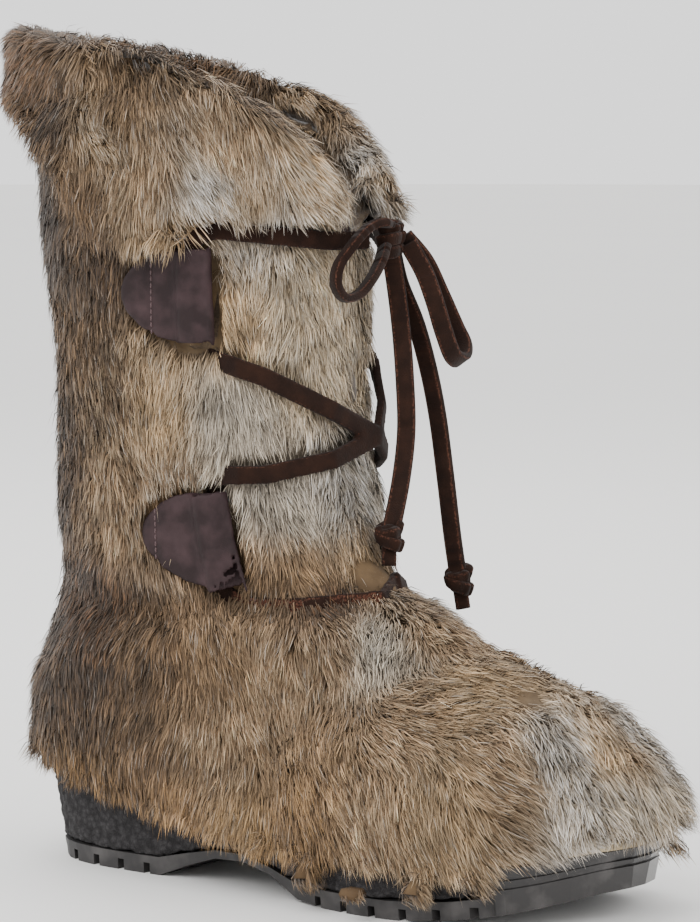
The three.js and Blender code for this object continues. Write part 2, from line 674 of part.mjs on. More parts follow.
// The thong's way round the leg from the knot, through a top tab and across the slit to the other side's bottom
// tab, as heights and angles, which are from the slit at the slit and from the front at the tabs. It ends past
// the middle of the bar over the instep.
function thongWay(side) {
  const half = tabHeight / 2;
  const tunnelDepth = tabDepth + tabThick / 2;
  const { top, bottom } = tabMiddles;
  const between = (share) => mix(top - half, bottom + half, share);
  const bend = (middle, up, turn) =>
    tabBend.map(({ past, ahead, sunk }) => ({
      z: middle + up * (half + past),
      turn: turn - Math.sign(turn) * ahead,
      depth: mix(thongDepth, tunnelDepth, sunk),
    }));
  const through = (middle, turn) => [
    ...bend(middle, 1, turn),
    { z: middle, turn, depth: tunnelDepth },
    ...bend(middle, -1, turn).toReversed(),
  ];
  const stops = [
    { z: knotHeight, turn: 7, depth: -4 },
    { z: knotHeight, turn: 18, depth: 0.5 },
    { z: knotHeight + 2.5, turn: 35, depth: thongDepth },
    ...through(top, tunnelTurn),
    { z: between(0.21), turn: 40, depth: thongDepth },
    { z: between(0.46), turn: 19, depth: 1 },
    { z: between(0.67), turn: 0, depth: -0.5 },
    { z: between(0.8), turn: -20, depth: 1 },
    { z: between(0.89), turn: -42, depth: thongDepth },
    ...through(bottom, -tunnelTurn),
    { z: bottom - half - 5, turn: -42, depth: thongDepth },
    { z: bottom - half - 2, turn: -20, depth: thongDepth },
    { z: bottom - half + 2.5, turn: 3, depth: thongDepth },
  ];
  const bendTurn = tunnelTurn - tabBend[0].ahead;
  const towardsSlit = (turn) => slitTurn * Math.max(0, 1 - Math.abs(turn) / bendTurn);
  return stops.map(({ z, turn, depth }) => legPlace(z, turn * side + towardsSlit(turn), depth));
}

const bothRuns = (section) => joined([1, -1].map((side) => solid(strip(thongWay(side), section))));

// The half-moon of a tab round the leg: from its straight front edge to the round rear, between two depths.
function halfMoon(middle, side, near, far, grow) {
  const columns = 5;
  const perMm = 1 / onLeg(middle, tunnelTurn + 0.5).distanceTo(onLeg(middle, tunnelTurn - 0.5));
  const rings = Array.from({ length: columns + 1 }, (_, i) => {
    const share = Math.sin((i / columns) * (Math.PI / 2));
    const back = share * (tabWidth + grow) - (i === 0 ? grow : 0);
    const backShare = Math.min(Math.max(back / tabWidth, 0), 1);
    const round = Math.sqrt(Math.max(1 - backShare ** 2.4, 0.01));
    const high = (tabHeight / 2) * round + grow;
    const turn = (tunnelTurn + (back - tunnelWide / 2) * perMm) * side;
    const column = [-high, 0, high];
    return [
      ...column.map((up) => onLeg(middle + up, turn, near)),
      ...column.toReversed().map((up) => onLeg(middle + up, turn, far)),
    ];
  });
  return solid(loft(rings));
}

// The tunnel along a tab's front edge: a flat tube of leather, or the room inside or round it.
function tunnel(middle, side, grow, longer) {
  const half = tabHeight / 2 - tunnelWall + longer;
  const [a, b] = [tunnelWide / 2 + grow, tunnelThick / 2 + grow];
  const section = Array.from({ length: 8 }, (_, i) => {
    const turn = turnOf(i * 45);
    return [Math.cos(turn) * a, Math.sin(turn) * b];
  });
  const path = [-1, 0, 1].map((up) => legPlace(middle + up * half, tunnelTurn * side, tabDepth + tabThick / 2));
  return solid(strip(path, section));
}

function makeTab(middle, side) {
  return halfMoon(middle, side, tabDepth, tabDepth + tabThick, 0)
    .add(tunnel(middle, side, 0, 0))
    .subtract(tunnel(middle, side, -tunnelWall, tabHeight / 4));
}

// The room in the fur for a tab, open outwards.
function tabPocket(middle, side) {
  const floor = tabDepth + tabThick + gap * 2;
  return halfMoon(middle, side, -lockRelief, floor, tabRoom).add(tunnel(middle, side, gap * 1.5, tabRoom));
}

// A block across the leg at the slit, between two heights.
function frontBlock(width, low, high) {
  const { x, y } = onLeg((slitFoot + bootHeight) / 2, slitTurn);
  return block([soleLength / 2, width, high - low], [x, y, (low + high) / 2]);
}

function makeTongue() {
  const leather = insideForm(gap).subtract(insideForm(gap + tongueThick));
  return leather.intersect(frontBlock(tongueWidth, slitFoot - tongueLap, tongueTop));
}

function makeUpper() {
  const cavity = insideForm(0);
  const sole = soleSlice(() => -heelThick, (at) => soleTop(at) + gap, bumperProud + gap);
  const collar = overTheLeg((degrees) => collarHigh(degrees) - rollHeight - gap);
  const slit = frontBlock(slitWidth, slitFoot, bootHeight);
  const middles = Object.values(tabMiddles);
  const tabs = [1, -1].flatMap((side) => middles.map((middle) => tabPocket(middle, side)));
  return joined([furForm().subtract(underHem()), ...hemTufts()])
    .subtract(cavity)
    .subtract(sole)
    .subtract(collar)
    .subtract(slit)
    .subtract(joined(tabs))
    .subtract(bothRuns(roomSection(thongRoom, lockRelief * 2)));
}

// The cuff: its fold swept round the collar from one side of the slit to the other, with locks along its lower
// edge. The leg that it lies on is cut out of it.
function makeCuff() {
  const stations = 26;
  const rings = [];
  const tufts = [];
  for (let i = 0; i <= stations; i += 1) {
    const round = slitTurn + mix(cuffGape, 360 - cuffGape, i / stations);
    const turn = round > 180 ? round - 360 : round;
    const rim = collarHigh(turn);
    const drop = Math.max(dropAt(turn), rollHeight + gap);
    const foldPoint = ({ roll, down, out, inside }, n) => {
      const lock = down > 0 ? lockRelief * 0.6 * (chance(Math.floor(i / 2), n) - 0.5) : 0;
      const depth = inside ? inside * wall : -gap - out * (cuffThick + lock);
      return onLeg(rim - roll * rollHeight - down * (drop - rollHeight), turn, depth);
    };
    rings.push(cuffFold.map(foldPoint));
    if (i % 2 === 1 && drop > hemLock.length * 2) {
      const root = onLeg(rim - drop + hemLock.length * 0.5, turn, -gap - cuffThick * 0.6);
      const size = scaled(hemLock, mix(0.7, 0.95, chance(i, 8)));
      tufts.push(tuft(root, new THREE.Vector3(0, 0, -1), outwardOnLeg(rim - drop, turn), size));
    }
  }
  const leg = outerForm(() => -gap).subtract(overTheLeg((degrees) => collarHigh(degrees) - rollHeight));
  return joined([solid(loft(rings)), ...tufts]).subtract(leg);
}

const knotPlace = () => onLeg(knotHeight, slitTurn, -knotProud);
const fromKnot = ([x, y, z]) => knotPlace().add(new THREE.Vector3(x, y, z));

function ball(centre, size, grow) {
  const across = size.map((length) => length + grow * 2);
  return solid(new THREE.SphereGeometry(0.5, 10, 6).scale(...across).translate(...centre.toArray()));
}

const makeKnot = (grow) => ball(knotPlace(), knotSize, grow);
const makeEndKnot = ({ points }, grow) => ball(fromKnot(points.at(-1)), endKnotSize, grow);

// A strip of the bow, which stops short of the knot.
function makeStrip({ points, across }) {
  const breadth = new THREE.Vector3(...across).normalize();
  const curve = new THREE.CatmullRomCurve3(points.map(fromKnot), false, "centripetal");
  const path = Array.from({ length: points.length + 1 }, (_, i) => ({
    at: curve.getPoint(i / points.length),
    out: new THREE.Vector3().crossVectors(breadth, curve.getTangent(i / points.length)).normalize(),
  }));
  return solid(strip(path, thongSection())).subtract(makeKnot(gap));
}

// The finishes, and the pieces in their places.
const materials = {
  rubber: new THREE.MeshStandardMaterial({ color: 0x2b2828, roughness: 0.55 }),
  sidewall: new THREE.MeshStandardMaterial({ color: 0x3b393a, roughness: 0.9 }),
  fur: new THREE.MeshStandardMaterial({ color: 0x8a6f52, roughness: 0.95 }),
  leather: new THREE.MeshStandardMaterial({ color: 0x4a3a3c, roughness: 0.6 }),
  suede: new THREE.MeshStandardMaterial({ color: 0x2e1a14, roughness: 0.95 }),
  felt: new THREE.MeshStandardMaterial({ color: 0xb9a78c, roughness: 0.95 }),
};

const group = new THREE.Group();

function place(name, made, material) {
  const { vertProperties, triVerts, numProp, numVert } = made.getMesh();
  const positions = new Float32Array(numVert * 3);
  for (let i = 0; i < numVert; i += 1) {
    const at = i * numProp;
    positions.set(vertProperties.subarray(at, at + 3), i * 3);
  }
  const geometry = new THREE.BufferGeometry();
  geometry.setAttribute("position", new THREE.BufferAttribute(positions, 3));
  geometry.setIndex(new THREE.BufferAttribute(triVerts, 1));
  geometry.computeVertexNormals();
  const mesh = new THREE.Mesh(geometry, materials[material]);
  mesh.name = name;
  group.add(mesh);
}

place("outsole", makeOutsole(), "rubber");
place("midsole", makeMidsole(), "sidewall");
place("insole", makeInsole(), "felt");
place("upper", makeUpper(), "fur");
place("cuff", makeCuff(), "fur");
place("tongue", makeTongue(), "leather");
for (const [level, middle] of Object.entries(tabMiddles)) {
  place(`tab_outer_${level}`, makeTab(middle, 1), "leather");
  place(`tab_inner_${level}`, makeTab(middle, -1), "leather");
}
place("lacing", bothRuns(roomSection()).subtract(makeKnot(gap)), "suede");
place("bow_knot", makeKnot(0), "suede");
place("bow_loop_outer", makeStrip(bow.loopOuter), "suede");
place("bow_loop_inner", makeStrip(bow.loopInner), "suede");
for (const [side, end] of Object.entries({ outer: bow.endOuter, inner: bow.endInner })) {
  place(`lace_end_${side}`, makeStrip(end).subtract(makeEndKnot(end, gap)), "suede");
  place(`end_knot_${side}`, makeEndKnot(end, 0), "suede");
}

export default group;
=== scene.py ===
"""A fur winter boot for the right foot: rabbit fur over a hide and felt lining, leather lace tabs, a suede thong
tied in a bow, and a moulded rubber wedge sole."""
import math

import bmesh
import bpy
import numpy as np
from mathutils import Matrix, Vector, noise
from mathutils.bvhtree import BVHTree
from mathutils.kdtree import KDTree


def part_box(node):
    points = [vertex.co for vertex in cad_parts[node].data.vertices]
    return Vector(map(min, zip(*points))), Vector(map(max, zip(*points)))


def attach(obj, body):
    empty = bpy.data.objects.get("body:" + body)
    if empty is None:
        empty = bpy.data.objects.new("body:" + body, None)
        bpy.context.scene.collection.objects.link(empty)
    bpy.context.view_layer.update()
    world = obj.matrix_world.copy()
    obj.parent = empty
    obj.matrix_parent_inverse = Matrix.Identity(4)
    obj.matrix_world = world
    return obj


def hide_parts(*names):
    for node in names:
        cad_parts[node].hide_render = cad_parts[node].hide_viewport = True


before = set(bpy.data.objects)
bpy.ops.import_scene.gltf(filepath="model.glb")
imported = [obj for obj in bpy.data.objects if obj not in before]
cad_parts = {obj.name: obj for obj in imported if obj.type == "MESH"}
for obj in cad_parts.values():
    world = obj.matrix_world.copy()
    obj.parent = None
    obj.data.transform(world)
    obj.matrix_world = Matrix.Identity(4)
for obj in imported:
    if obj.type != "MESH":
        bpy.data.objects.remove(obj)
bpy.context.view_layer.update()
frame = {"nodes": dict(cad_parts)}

bl_info = {
    "name": "Fur Mukluk Boot",
    "version": (1, 0, 0),
    "blender": (4, 5, 0),
    "location": "View3D > Sidebar > Mukluk",
    "description": "Builds a laced fur boot with leather tabs and a rubber sole",
    "category": "Add Mesh",
}

MM = 0.001
BODY = "root"
PHOTO_SIZE = (700, 922)
PIXELS_PER_RADIAN = 4250
SENSOR = 36

# The palette of the coat, from the darkest guard hairs to the white patches.
COAT = {
    "night": "#231b16",
    "umber": "#4e3d2e",
    "bark": "#6b543c",
    "tan": "#8f7355",
    "buff": "#a98b66",
    "golden": "#b08a5a",
    "rust": "#875c3a",
    "sand": "#bfa98a",
    "cream": "#d3c6b2",
    "ash": "#a39888",
    "smoke": "#786e64",
    "snow": "#efebe6",
}

# Where the coat is combed and coloured. Each row is a place in the photograph's frame, the way in the picture
# that the hair runs there, its band and tip colours, the share of dark guard hairs, its length in millimetres and
# how steeply it stands in degrees.
COMBING = [
    ((35, 50), (-0.5, 0.6), "bark", "rust", 0.35, 17, 22),
    ((75, 22), (-0.2, -1.0), "bark", "rust", 0.35, 17, 40),
    ((140, 38), (0.1, -1.0), "bark", "tan", 0.3, 17, 45),
    ((215, 62), (0.3, -0.8), "tan", "sand", 0.25, 17, 42),
    ((300, 118), (0.6, -0.2), "buff", "cream", 0.2, 17, 32),
    ((358, 172), (0.7, 0.3), "ash", "snow", 0.15, 17, 28),
    ((374, 205), (0.8, 0.6), "ash", "snow", 0.15, 17, 26),
    ((60, 112), (-0.2, 1.0), "umber", "tan", 0.45, 22, 20),
    ((120, 100), (0.0, 1.0), "bark", "buff", 0.35, 22, 22),
    ((85, 185), (0.1, 1.0), "bark", "tan", 0.4, 23, 18),
    ((150, 170), (0.15, 1.0), "tan", "sand", 0.3, 24, 20),
    ((165, 240), (0.1, 1.0), "buff", "sand", 0.2, 24, 16),
    ((225, 135), (0.35, 1.0), "tan", "sand", 0.3, 23, 20),
    ((250, 195), (0.4, 1.0), "buff", "sand", 0.22, 23, 18),
    ((310, 175), (0.6, 0.8), "buff", "cream", 0.2, 22, 18),
    ((325, 218), (0.7, 0.7), "sand", "cream", 0.15, 22, 16),
    ((262, 50), (0.2, -1.0), "tan", "sand", 0.3, 18, 45),
    ((330, 88), (0.5, -0.8), "smoke", "cream", 0.3, 18, 42),
    ((385, 145), (0.7, -0.4), "smoke", "cream", 0.3, 18, 38),
    ((55, 215), (-0.05, 1.0), "umber", "bark", 0.5, 19, 13),
    ((75, 330), (0.05, 1.0), "bark", "tan", 0.45, 20, 13),
    ((72, 450), (0.0, 1.0), "umber", "tan", 0.45, 20, 13),
    ((70, 555), (0.0, 1.0), "umber", "bark", 0.45, 20, 14),
    # Painted shadow: this row's dark umber band darkens the hair behind the tab, where the tab's shadow falls.
    ((112, 255), (0.1, 1.0), "umber", "tan", 0.45, 19, 13),
    ((115, 385), (0.15, 1.0), "bark", "sand", 0.35, 20, 14),
    ((165, 400), (0.1, 1.0), "buff", "sand", 0.2, 20, 15),
    ((120, 480), (0.05, 1.0), "tan", "sand", 0.3, 20, 14),
    ((172, 480), (0.05, 1.0), "tan", "cream", 0.25, 20, 16),
    ((240, 320), (0.1, 1.0), "buff", "sand", 0.2, 19, 15),
    ((300, 300), (0.1, 1.0), "sand", "cream", 0.12, 19, 15),
    ((350, 325), (0.5, 0.8), "sand", "cream", 0.1, 20, 20),
    ((230, 400), (0.05, 1.0), "ash", "cream", 0.15, 20, 15),
    ((300, 365), (0.2, 1.0), "sand", "cream", 0.15, 19, 15),
    ((245, 480), (-0.1, 1.0), "ash", "cream", 0.2, 20, 16),
    ((300, 500), (0.2, 1.0), "ash", "cream", 0.2, 20, 16),
    ((352, 480), (0.5, 0.8), "ash", "snow", 0.2, 19, 18),
    ((420, 380), (0.5, 0.8), "sand", "cream", 0.1, 27, 30),
    ((300, 560), (0.1, 1.0), "tan", "buff", 0.3, 20, 15),
    ((360, 555), (0.4, 0.9), "buff", "sand", 0.25, 20, 15),
    ((240, 560), (0.0, 1.0), "bark", "tan", 0.35, 20, 15),
    # Painted shade: these two rows lie on the ankle crease, and their dark umber band and heavy ticking darken the
    # hair in the crease.
    ((325, 592), (0.1, 1.0), "umber", "rust", 0.5, 17, 13),
    ((105, 600), (-0.1, 1.0), "umber", "rust", 0.5, 19, 15),
    ((50, 645), (-0.5, 0.9), "umber", "bark", 0.45, 22, 16),
    ((35, 725), (-0.4, 1.0), "bark", "rust", 0.35, 24, 16),
    ((92, 685), (-0.1, 1.0), "umber", "tan", 0.45, 22, 15),
    ((160, 645), (0.0, 1.0), "bark", "tan", 0.4, 22, 15),
    ((220, 645), (0.1, 1.0), "tan", "buff", 0.3, 22, 16),
    ((150, 725), (0.0, 1.0), "bark", "tan", 0.4, 22, 16),
    ((222, 725), (0.15, 1.0), "tan", "sand", 0.3, 22, 16),
    ((95, 770), (-0.1, 1.0), "bark", "golden", 0.3, 21, 15),
    ((180, 800), (0.1, 1.0), "tan", "golden", 0.25, 21, 15),
    ((270, 665), (0.3, 1.0), "tan", "sand", 0.3, 22, 17),
    ((330, 650), (0.5, 0.8), "tan", "sand", 0.3, 22, 18),
    ((400, 588), (0.9, -0.4), "snow", "snow", 0.0, 17, 22),
    ((375, 645), (-0.3, 1.0), "ash", "cream", 0.25, 20, 34),
    ((440, 625), (0.9, 0.3), "tan", "sand", 0.25, 20, 18),
    ((330, 725), (0.5, 0.9), "tan", "buff", 0.3, 22, 18),
    ((400, 720), (0.8, 0.5), "tan", "sand", 0.3, 22, 18),
    ((470, 690), (0.95, 0.3), "buff", "sand", 0.25, 21, 17),
    ((540, 672), (0.9, 0.4), "tan", "buff", 0.3, 20, 17),
    ((300, 800), (0.3, 1.0), "tan", "golden", 0.28, 22, 17),
    ((370, 810), (0.5, 0.9), "tan", "sand", 0.28, 22, 17),
    ((440, 800), (0.7, 0.8), "buff", "sand", 0.25, 22, 17),
    ((500, 775), (0.8, 0.6), "tan", "sand", 0.28, 22, 18),
    ((562, 750), (0.2, 1.0), "ash", "snow", 0.15, 20, 24),
    ((590, 805), (0.2, 1.0), "ash", "snow", 0.15, 21, 22),
    ((620, 742), (0.7, 0.8), "buff", "sand", 0.2, 21, 18),
    ((662, 790), (0.6, 0.9), "sand", "cream", 0.15, 22, 18),
    ((640, 835), (0.4, 1.0), "cream", "snow", 0.08, 22, 16),
    ((400, 868), (0.3, 1.0), "golden", "sand", 0.2, 20, 14),
    ((480, 872), (0.4, 1.0), "golden", "sand", 0.2, 20, 14),
    ((560, 845), (0.3, 1.0), "sand", "cream", 0.15, 20, 14),
    ((250, 835), (0.2, 1.0), "buff", "golden", 0.22, 20, 14),
]

# The main creases and ridges, pressed into the hide: a line in the photograph's frame, half its width
# and its depth in millimetres, where a ridge is a depth below nothing.
CREASES = [
    ([(75, 592), (150, 602), (230, 600), (330, 590), (372, 574)], 8, 2.4),
    ([(90, 555), (170, 566), (250, 566), (330, 556)], 10, -2.4),
    ([(80, 632), (170, 640), (260, 636), (330, 626)], 12, -2.6),
    ([(20, 107), (67, 78), (116, 72), (156, 86), (192, 62)], 7, 4.2),
    ([(528, 690), (560, 702), (586, 738), (598, 790), (600, 846)], 6, 4.6),
    ([(262, 740), (262, 795), (268, 845)], 5, 3.6),
    ([(60, 300), (110, 315)], 8, 1.2),
    ([(240, 425), (320, 400), (360, 380)], 9, 1.4),
    ([(400, 640), (450, 690), (470, 760)], 12, 1.5),
]

# The bow's strips, in millimetres forward of its knot, to the inner side of it and up from it, with the way that
# each strip's breadth runs.
BOW = {
    "bow_loop_outer": {
        "across": (0.88, -0.46, 0.08),
        "route": [
            (1, -4, 6),
            (4, -12, 7),
            (4, -20, 5),
            (2, -28, -2),
            (0, -34, -10),
            (0, -35, -17),
            (1, -31, -22),
            (3, -25, -21),
            (5, -19, -15),
            (5, -13, -8),
            (3, -8, -3),
        ],
    },
    "bow_loop_inner": {
        "across": (0.63, 0.5, 0.6),
        "route": [
            (3, 5, 1),
            (8, 12, -9),
            (12, 17, -22),
            (16, 22, -36),
            (20, 22, -43),
            (22, 18, -48),
            (22, 13, -47),
            (20, 9, -37),
            (17, 7, -25),
            (13, 5, -13),
            (6, 4, -2),
        ],
    },
    "lace_end_outer": {
        "across": (0.79, 0.62, 0),
        "route": [
            (1, -1, -6),
            (3, -1, -16),
            (6, -1, -35),
            (8, -1, -56),
            (8, 0, -76),
            (8, -3, -94),
            (8, -8, -110),
            (8, -11, -118),
        ],
    },
    "lace_end_inner": {
        "across": (0.95, 0.2, 0.1),
        "route": [
            (-3, 5, -5),
            (-3, 10, -18),
            (2, 14, -34),
            (6, 17, -52),
            (10, 18, -71),
            (14, 18, -95),
            (17, 19, -120),
            (18, 22, -138),
        ],
    },
}
END_KNOTS = {"lace_end_outer": "end_knot_outer", "lace_end_inner": "end_knot_inner"}
TABS = ("tab_outer_top", "tab_inner_top", "tab_outer_bottom", "tab_inner_bottom")


class MuklukView(bpy.types.PropertyGroup):
    """Where the picture is taken from."""

    azimuth: bpy.props.FloatProperty(
        name="Azimuth", description="Turn of the camera round the boot", subtype="ANGLE",
        default=math.radians(38),
    )
    elevation: bpy.props.FloatProperty(
        name="Elevation", description="Height of the camera's line of sight", subtype="ANGLE",
        default=math.radians(5.5),
    )
    distance: bpy.props.FloatProperty(
        name="Distance", description="From the camera to the boot", unit="LENGTH", default=1.7
    )
    target: bpy.props.FloatVectorProperty(
        name="Target", description="The point in the middle of the picture", subtype="XYZ",
        default=(0.1, 0.006, 0.1695),
    )


class MuklukCoat(bpy.types.PropertyGroup):
    """The fur and the hide that it grows on."""

    hide_voxel: bpy.props.FloatProperty(
        name="Hide Grain", description="Size of the hide's faces", unit="LENGTH", default=4.4 * MM
    )
    hem: bpy.props.FloatProperty(
        name="Hem", description="Lowest edge of the hide over the floor", unit="LENGTH", default=10 * MM
    )
    trim: bpy.props.FloatProperty(
        name="Trim", description="Share of the combed length that the hair keeps", subtype="FACTOR",
        default=0.6,
    )
    sink: bpy.props.FloatProperty(
        name="Fur Depth", description="From the fur's surface down to the hide", unit="LENGTH",
        default=5.5 * MM,
    )
    width: bpy.props.FloatProperty(
        name="Hair Width", description="Width of a wisp of hair", unit="LENGTH", default=0.4 * MM
    )
    clump: bpy.props.FloatProperty(
        name="Clump Spacing", description="Distance between locks of hair", unit="LENGTH",
        default=5.0 * MM,
    )
    gather: bpy.props.FloatProperty(
        name="Gather", description="How far tips are drawn into their lock", subtype="FACTOR", default=0.36
    )
    seed: bpy.props.IntProperty(name="Seed", description="Start of the random draws", default=7)


class MuklukThong(bpy.types.PropertyGroup):
    """The suede thong."""

    breadth: bpy.props.FloatProperty(
        name="Breadth", description="Across the thong", unit="LENGTH", default=7.5 * MM
    )
    thickness: bpy.props.FloatProperty(
        name="Thickness", description="Through the thong", unit="LENGTH", default=3.6 * MM
    )
    dark: bpy.props.StringProperty(name="Nap", description="Colour of the nap", default="#1c100b")
    pale: bpy.props.StringProperty(name="Cut Edge", description="Colour of the cut edges", default="#553529")
    buried_turn: bpy.props.FloatProperty(
        name="Buried From", description="Turn round the leg beyond which fur lies over the thong",
        subtype="ANGLE", default=math.radians(43),
    )
    buried_height: bpy.props.FloatProperty(
        name="Buried Below", description="Height below which fur lies over the thong", unit="LENGTH",
        default=129 * MM,
    )
    buried_depth: bpy.props.FloatProperty(
        name="Buried Depth", description="How deep the thong is pressed into the fur", unit="LENGTH",
        default=10 * MM,
    )


class MuklukSole(bpy.types.PropertyGroup):
    """The rubber sole."""

    crumb: bpy.props.FloatProperty(
        name="Crumb", description="Depth of the sidewall's crumb texture", unit="LENGTH", default=0.55 * MM
    )
    crumb_size: bpy.props.FloatProperty(
        name="Crumb Size", description="Size of one crumb", unit="LENGTH", default=2.6 * MM
    )
    rubber: bpy.props.StringProperty(name="Rubber", description="Colour of the tread", default="#262424")
    sidewall: bpy.props.StringProperty(name="Sidewall", description="Colour of the sidewall", default="#3a3839")


class MuklukLeather(bpy.types.PropertyGroup):
    """The tabs and the tongue."""

    colour: bpy.props.StringProperty(name="Leather", description="Colour of the tabs", default="#241a1b")
    stitch: bpy.props.FloatProperty(
        name="Stitch", description="Length of one stitch", unit="LENGTH", default=2.6 * MM
    )
    seam_turn: bpy.props.FloatProperty(
        name="Seam", description="Turn of the tab's seam round the leg from the front", subtype="ANGLE",
        default=math.radians(69.5),
    )


class MuklukStage(bpy.types.PropertyGroup):
    """The floor and the light."""

    floor: bpy.props.StringProperty(name="Floor", description="Colour of the floor", default="#f3f2f0")
    radius: bpy.props.FloatProperty(
        name="Radius", description="Radius of the floor", unit="LENGTH", default=9.0
    )
    key: bpy.props.FloatProperty(name="Key Light", description="Power of the main light", default=24.0)
    fill: bpy.props.FloatProperty(name="Fill Light", description="Power of the second light", default=8.0)
    sky: bpy.props.FloatProperty(name="Sky", description="Strength of the light all round", default=1.6)


GROUPS = {
    "mukluk_view": MuklukView,
    "mukluk_coat": MuklukCoat,
    "mukluk_thong": MuklukThong,
    "mukluk_sole": MuklukSole,
    "mukluk_leather": MuklukLeather,
    "mukluk_stage": MuklukStage,
}


def linear(hex_colour):
    """An sRGB hex colour as linear red, green, blue and alpha."""
    shares = [int(hex_colour[i:i + 2], 16) / 255 for i in (1, 3, 5)]
    return [s / 12.92 if s <= 0.04045 else ((s + 0.055) / 1.055) ** 2.4 for s in shares] + [1.0]


def add_node(tree, kind, sockets=None, **settings):
    """A shader node with its settings, whose sockets take numbers, colours or other nodes' outputs."""
    made = tree.nodes.new("ShaderNode" + kind)
    for name, value in settings.items():
        setattr(made, name, value)
    for name, value in (sockets or {}).items():
        if isinstance(value, bpy.types.NodeSocket):
            tree.links.new(value, made.inputs[name])
        else:
            made.inputs[name].default_value = value
    return made


def new_material(name, **sockets):
    """A material with one Principled shader, given by name, and its node tree."""
    material = bpy.data.materials.new(name)
    material.use_nodes = True
    tree = material.node_tree
    shader = tree.nodes["Principled BSDF"]
    for socket, value in sockets.items():
        shader.inputs[socket.replace("_", " ")].default_value = value
    return material, tree, shader


def blend_colours(tree, factor, first, second):
    """The output of a mix of two colours by a factor."""
    mixed = add_node(tree, "Mix", data_type="RGBA")
    for socket, value in ((0, factor), (6, first), (7, second)):
        if isinstance(value, bpy.types.NodeSocket):
            tree.links.new(value, mixed.inputs[socket])
        else:
            mixed.inputs[socket].default_value = value
    return mixed.outputs[2]


def rabbit_fur():
    """Tanned rabbit fur, combed: every hair has its own colours from root to tip, and a soft low gloss."""
    material, tree, shader = new_material(
        "rabbit_fur_combed", Roughness=0.62, Specular_IOR_Level=0.28, Sheen_Weight=0.12, Sheen_Roughness=0.5
    )
    coat = add_node(tree, "Attribute", attribute_name="coat")
    tree.links.new(coat.outputs["Color"], shader.inputs["Base Color"])
    return material


def tanned_hide():
    """Tanned hide with its woolly undercoat: dull brown, mottled every few millimetres, seen only in partings."""
    material, tree, shader = new_material("tanned_hide_undercoat", Roughness=0.95, Specular_IOR_Level=0.15)
    place = add_node(tree, "TexCoord").outputs["Object"]
    mottle = add_node(tree, "TexNoise", {"Vector": place, "Scale": 1 / (6 * MM), "Detail": 4.0})
    coat = add_node(tree, "Attribute", attribute_name="coat")
    colour = blend_colours(tree, mottle.outputs["Fac"], linear("#3d3024"), coat.outputs["Color"])
    tree.links.new(colour, shader.inputs["Base Color"])
    return material


def wool_felt(name, pale, dark):
    """Needled wool felt: matt, with a fibre mottle under a millimetre across and a soft fuzz at its edges."""
    material, tree, shader = new_material(name, Roughness=0.95, Specular_IOR_Level=0.1, Sheen_Weight=0.35)
    place = add_node(tree, "TexCoord").outputs["Object"]
    fibre = add_node(tree, "TexNoise", {"Vector": place, "Scale": 1 / (0.9 * MM), "Detail": 5.0})
    cloud = add_node(tree, "TexNoise", {"Vector": place, "Scale": 1 / (14 * MM), "Detail": 2.0})
    share = add_node(tree, "Math", {0: fibre.outputs["Fac"], 1: cloud.outputs["Fac"]}, operation="MULTIPLY")
    spread = add_node(tree, "MapRange", {"Value": share.outputs[0], "From Min": 0.12, "From Max": 0.4})
    tree.links.new(
        blend_colours(tree, spread.outputs[0], linear(dark), linear(pale)), shader.inputs["Base Color"]
    )
    bump = add_node(tree, "Bump", {"Height": fibre.outputs["Fac"], "Strength": 0.6, "Distance": 0.4 * MM})
    tree.links.new(bump.outputs[0], shader.inputs["Normal"])
    return material


def smooth_leather(name, colour):
    """Drum-dyed smooth cowhide, lightly waxed: fine pebble grain about 0.8 mm across, soft gloss, worn lighter."""
    material, tree, shader = new_material(name, Specular_IOR_Level=0.14)
    place = add_node(tree, "TexCoord").outputs["Object"]
    pebble = add_node(
        tree, "TexVoronoi", {"Vector": place, "Scale": 1 / (0.8 * MM)}, feature="DISTANCE_TO_EDGE"
    )
    cloud = add_node(tree, "TexNoise", {"Vector": place, "Scale": 1 / (9 * MM), "Detail": 4.0})
    wear = add_node(tree, "MapRange", {"Value": cloud.outputs["Fac"], "From Min": 0.4, "From Max": 0.75})
    shade = blend_colours(tree, wear.outputs[0], linear(colour), linear("#3d2e30"))
    tree.links.new(shade, shader.inputs["Base Color"])
    gloss = add_node(
        tree, "MapRange", {"Value": cloud.outputs["Fac"], "To Min": 0.36, "To Max": 0.6}
    )
    tree.links.new(gloss.outputs[0], shader.inputs["Roughness"])
    dent = add_node(tree, "MapRange", {"Value": pebble.outputs["Distance"], "From Max": 0.12})
    fine = add_node(tree, "Bump", {"Height": dent.outputs[0], "Strength": 0.25, "Distance": 0.15 * MM})
    soft = add_node(
        tree, "Bump",
        {"Height": cloud.outputs["Fac"], "Strength": 0.35, "Distance": 1 * MM, "Normal": fine.outputs[0]},
    )
    tree.links.new(soft.outputs[0], shader.inputs["Normal"])
    return material


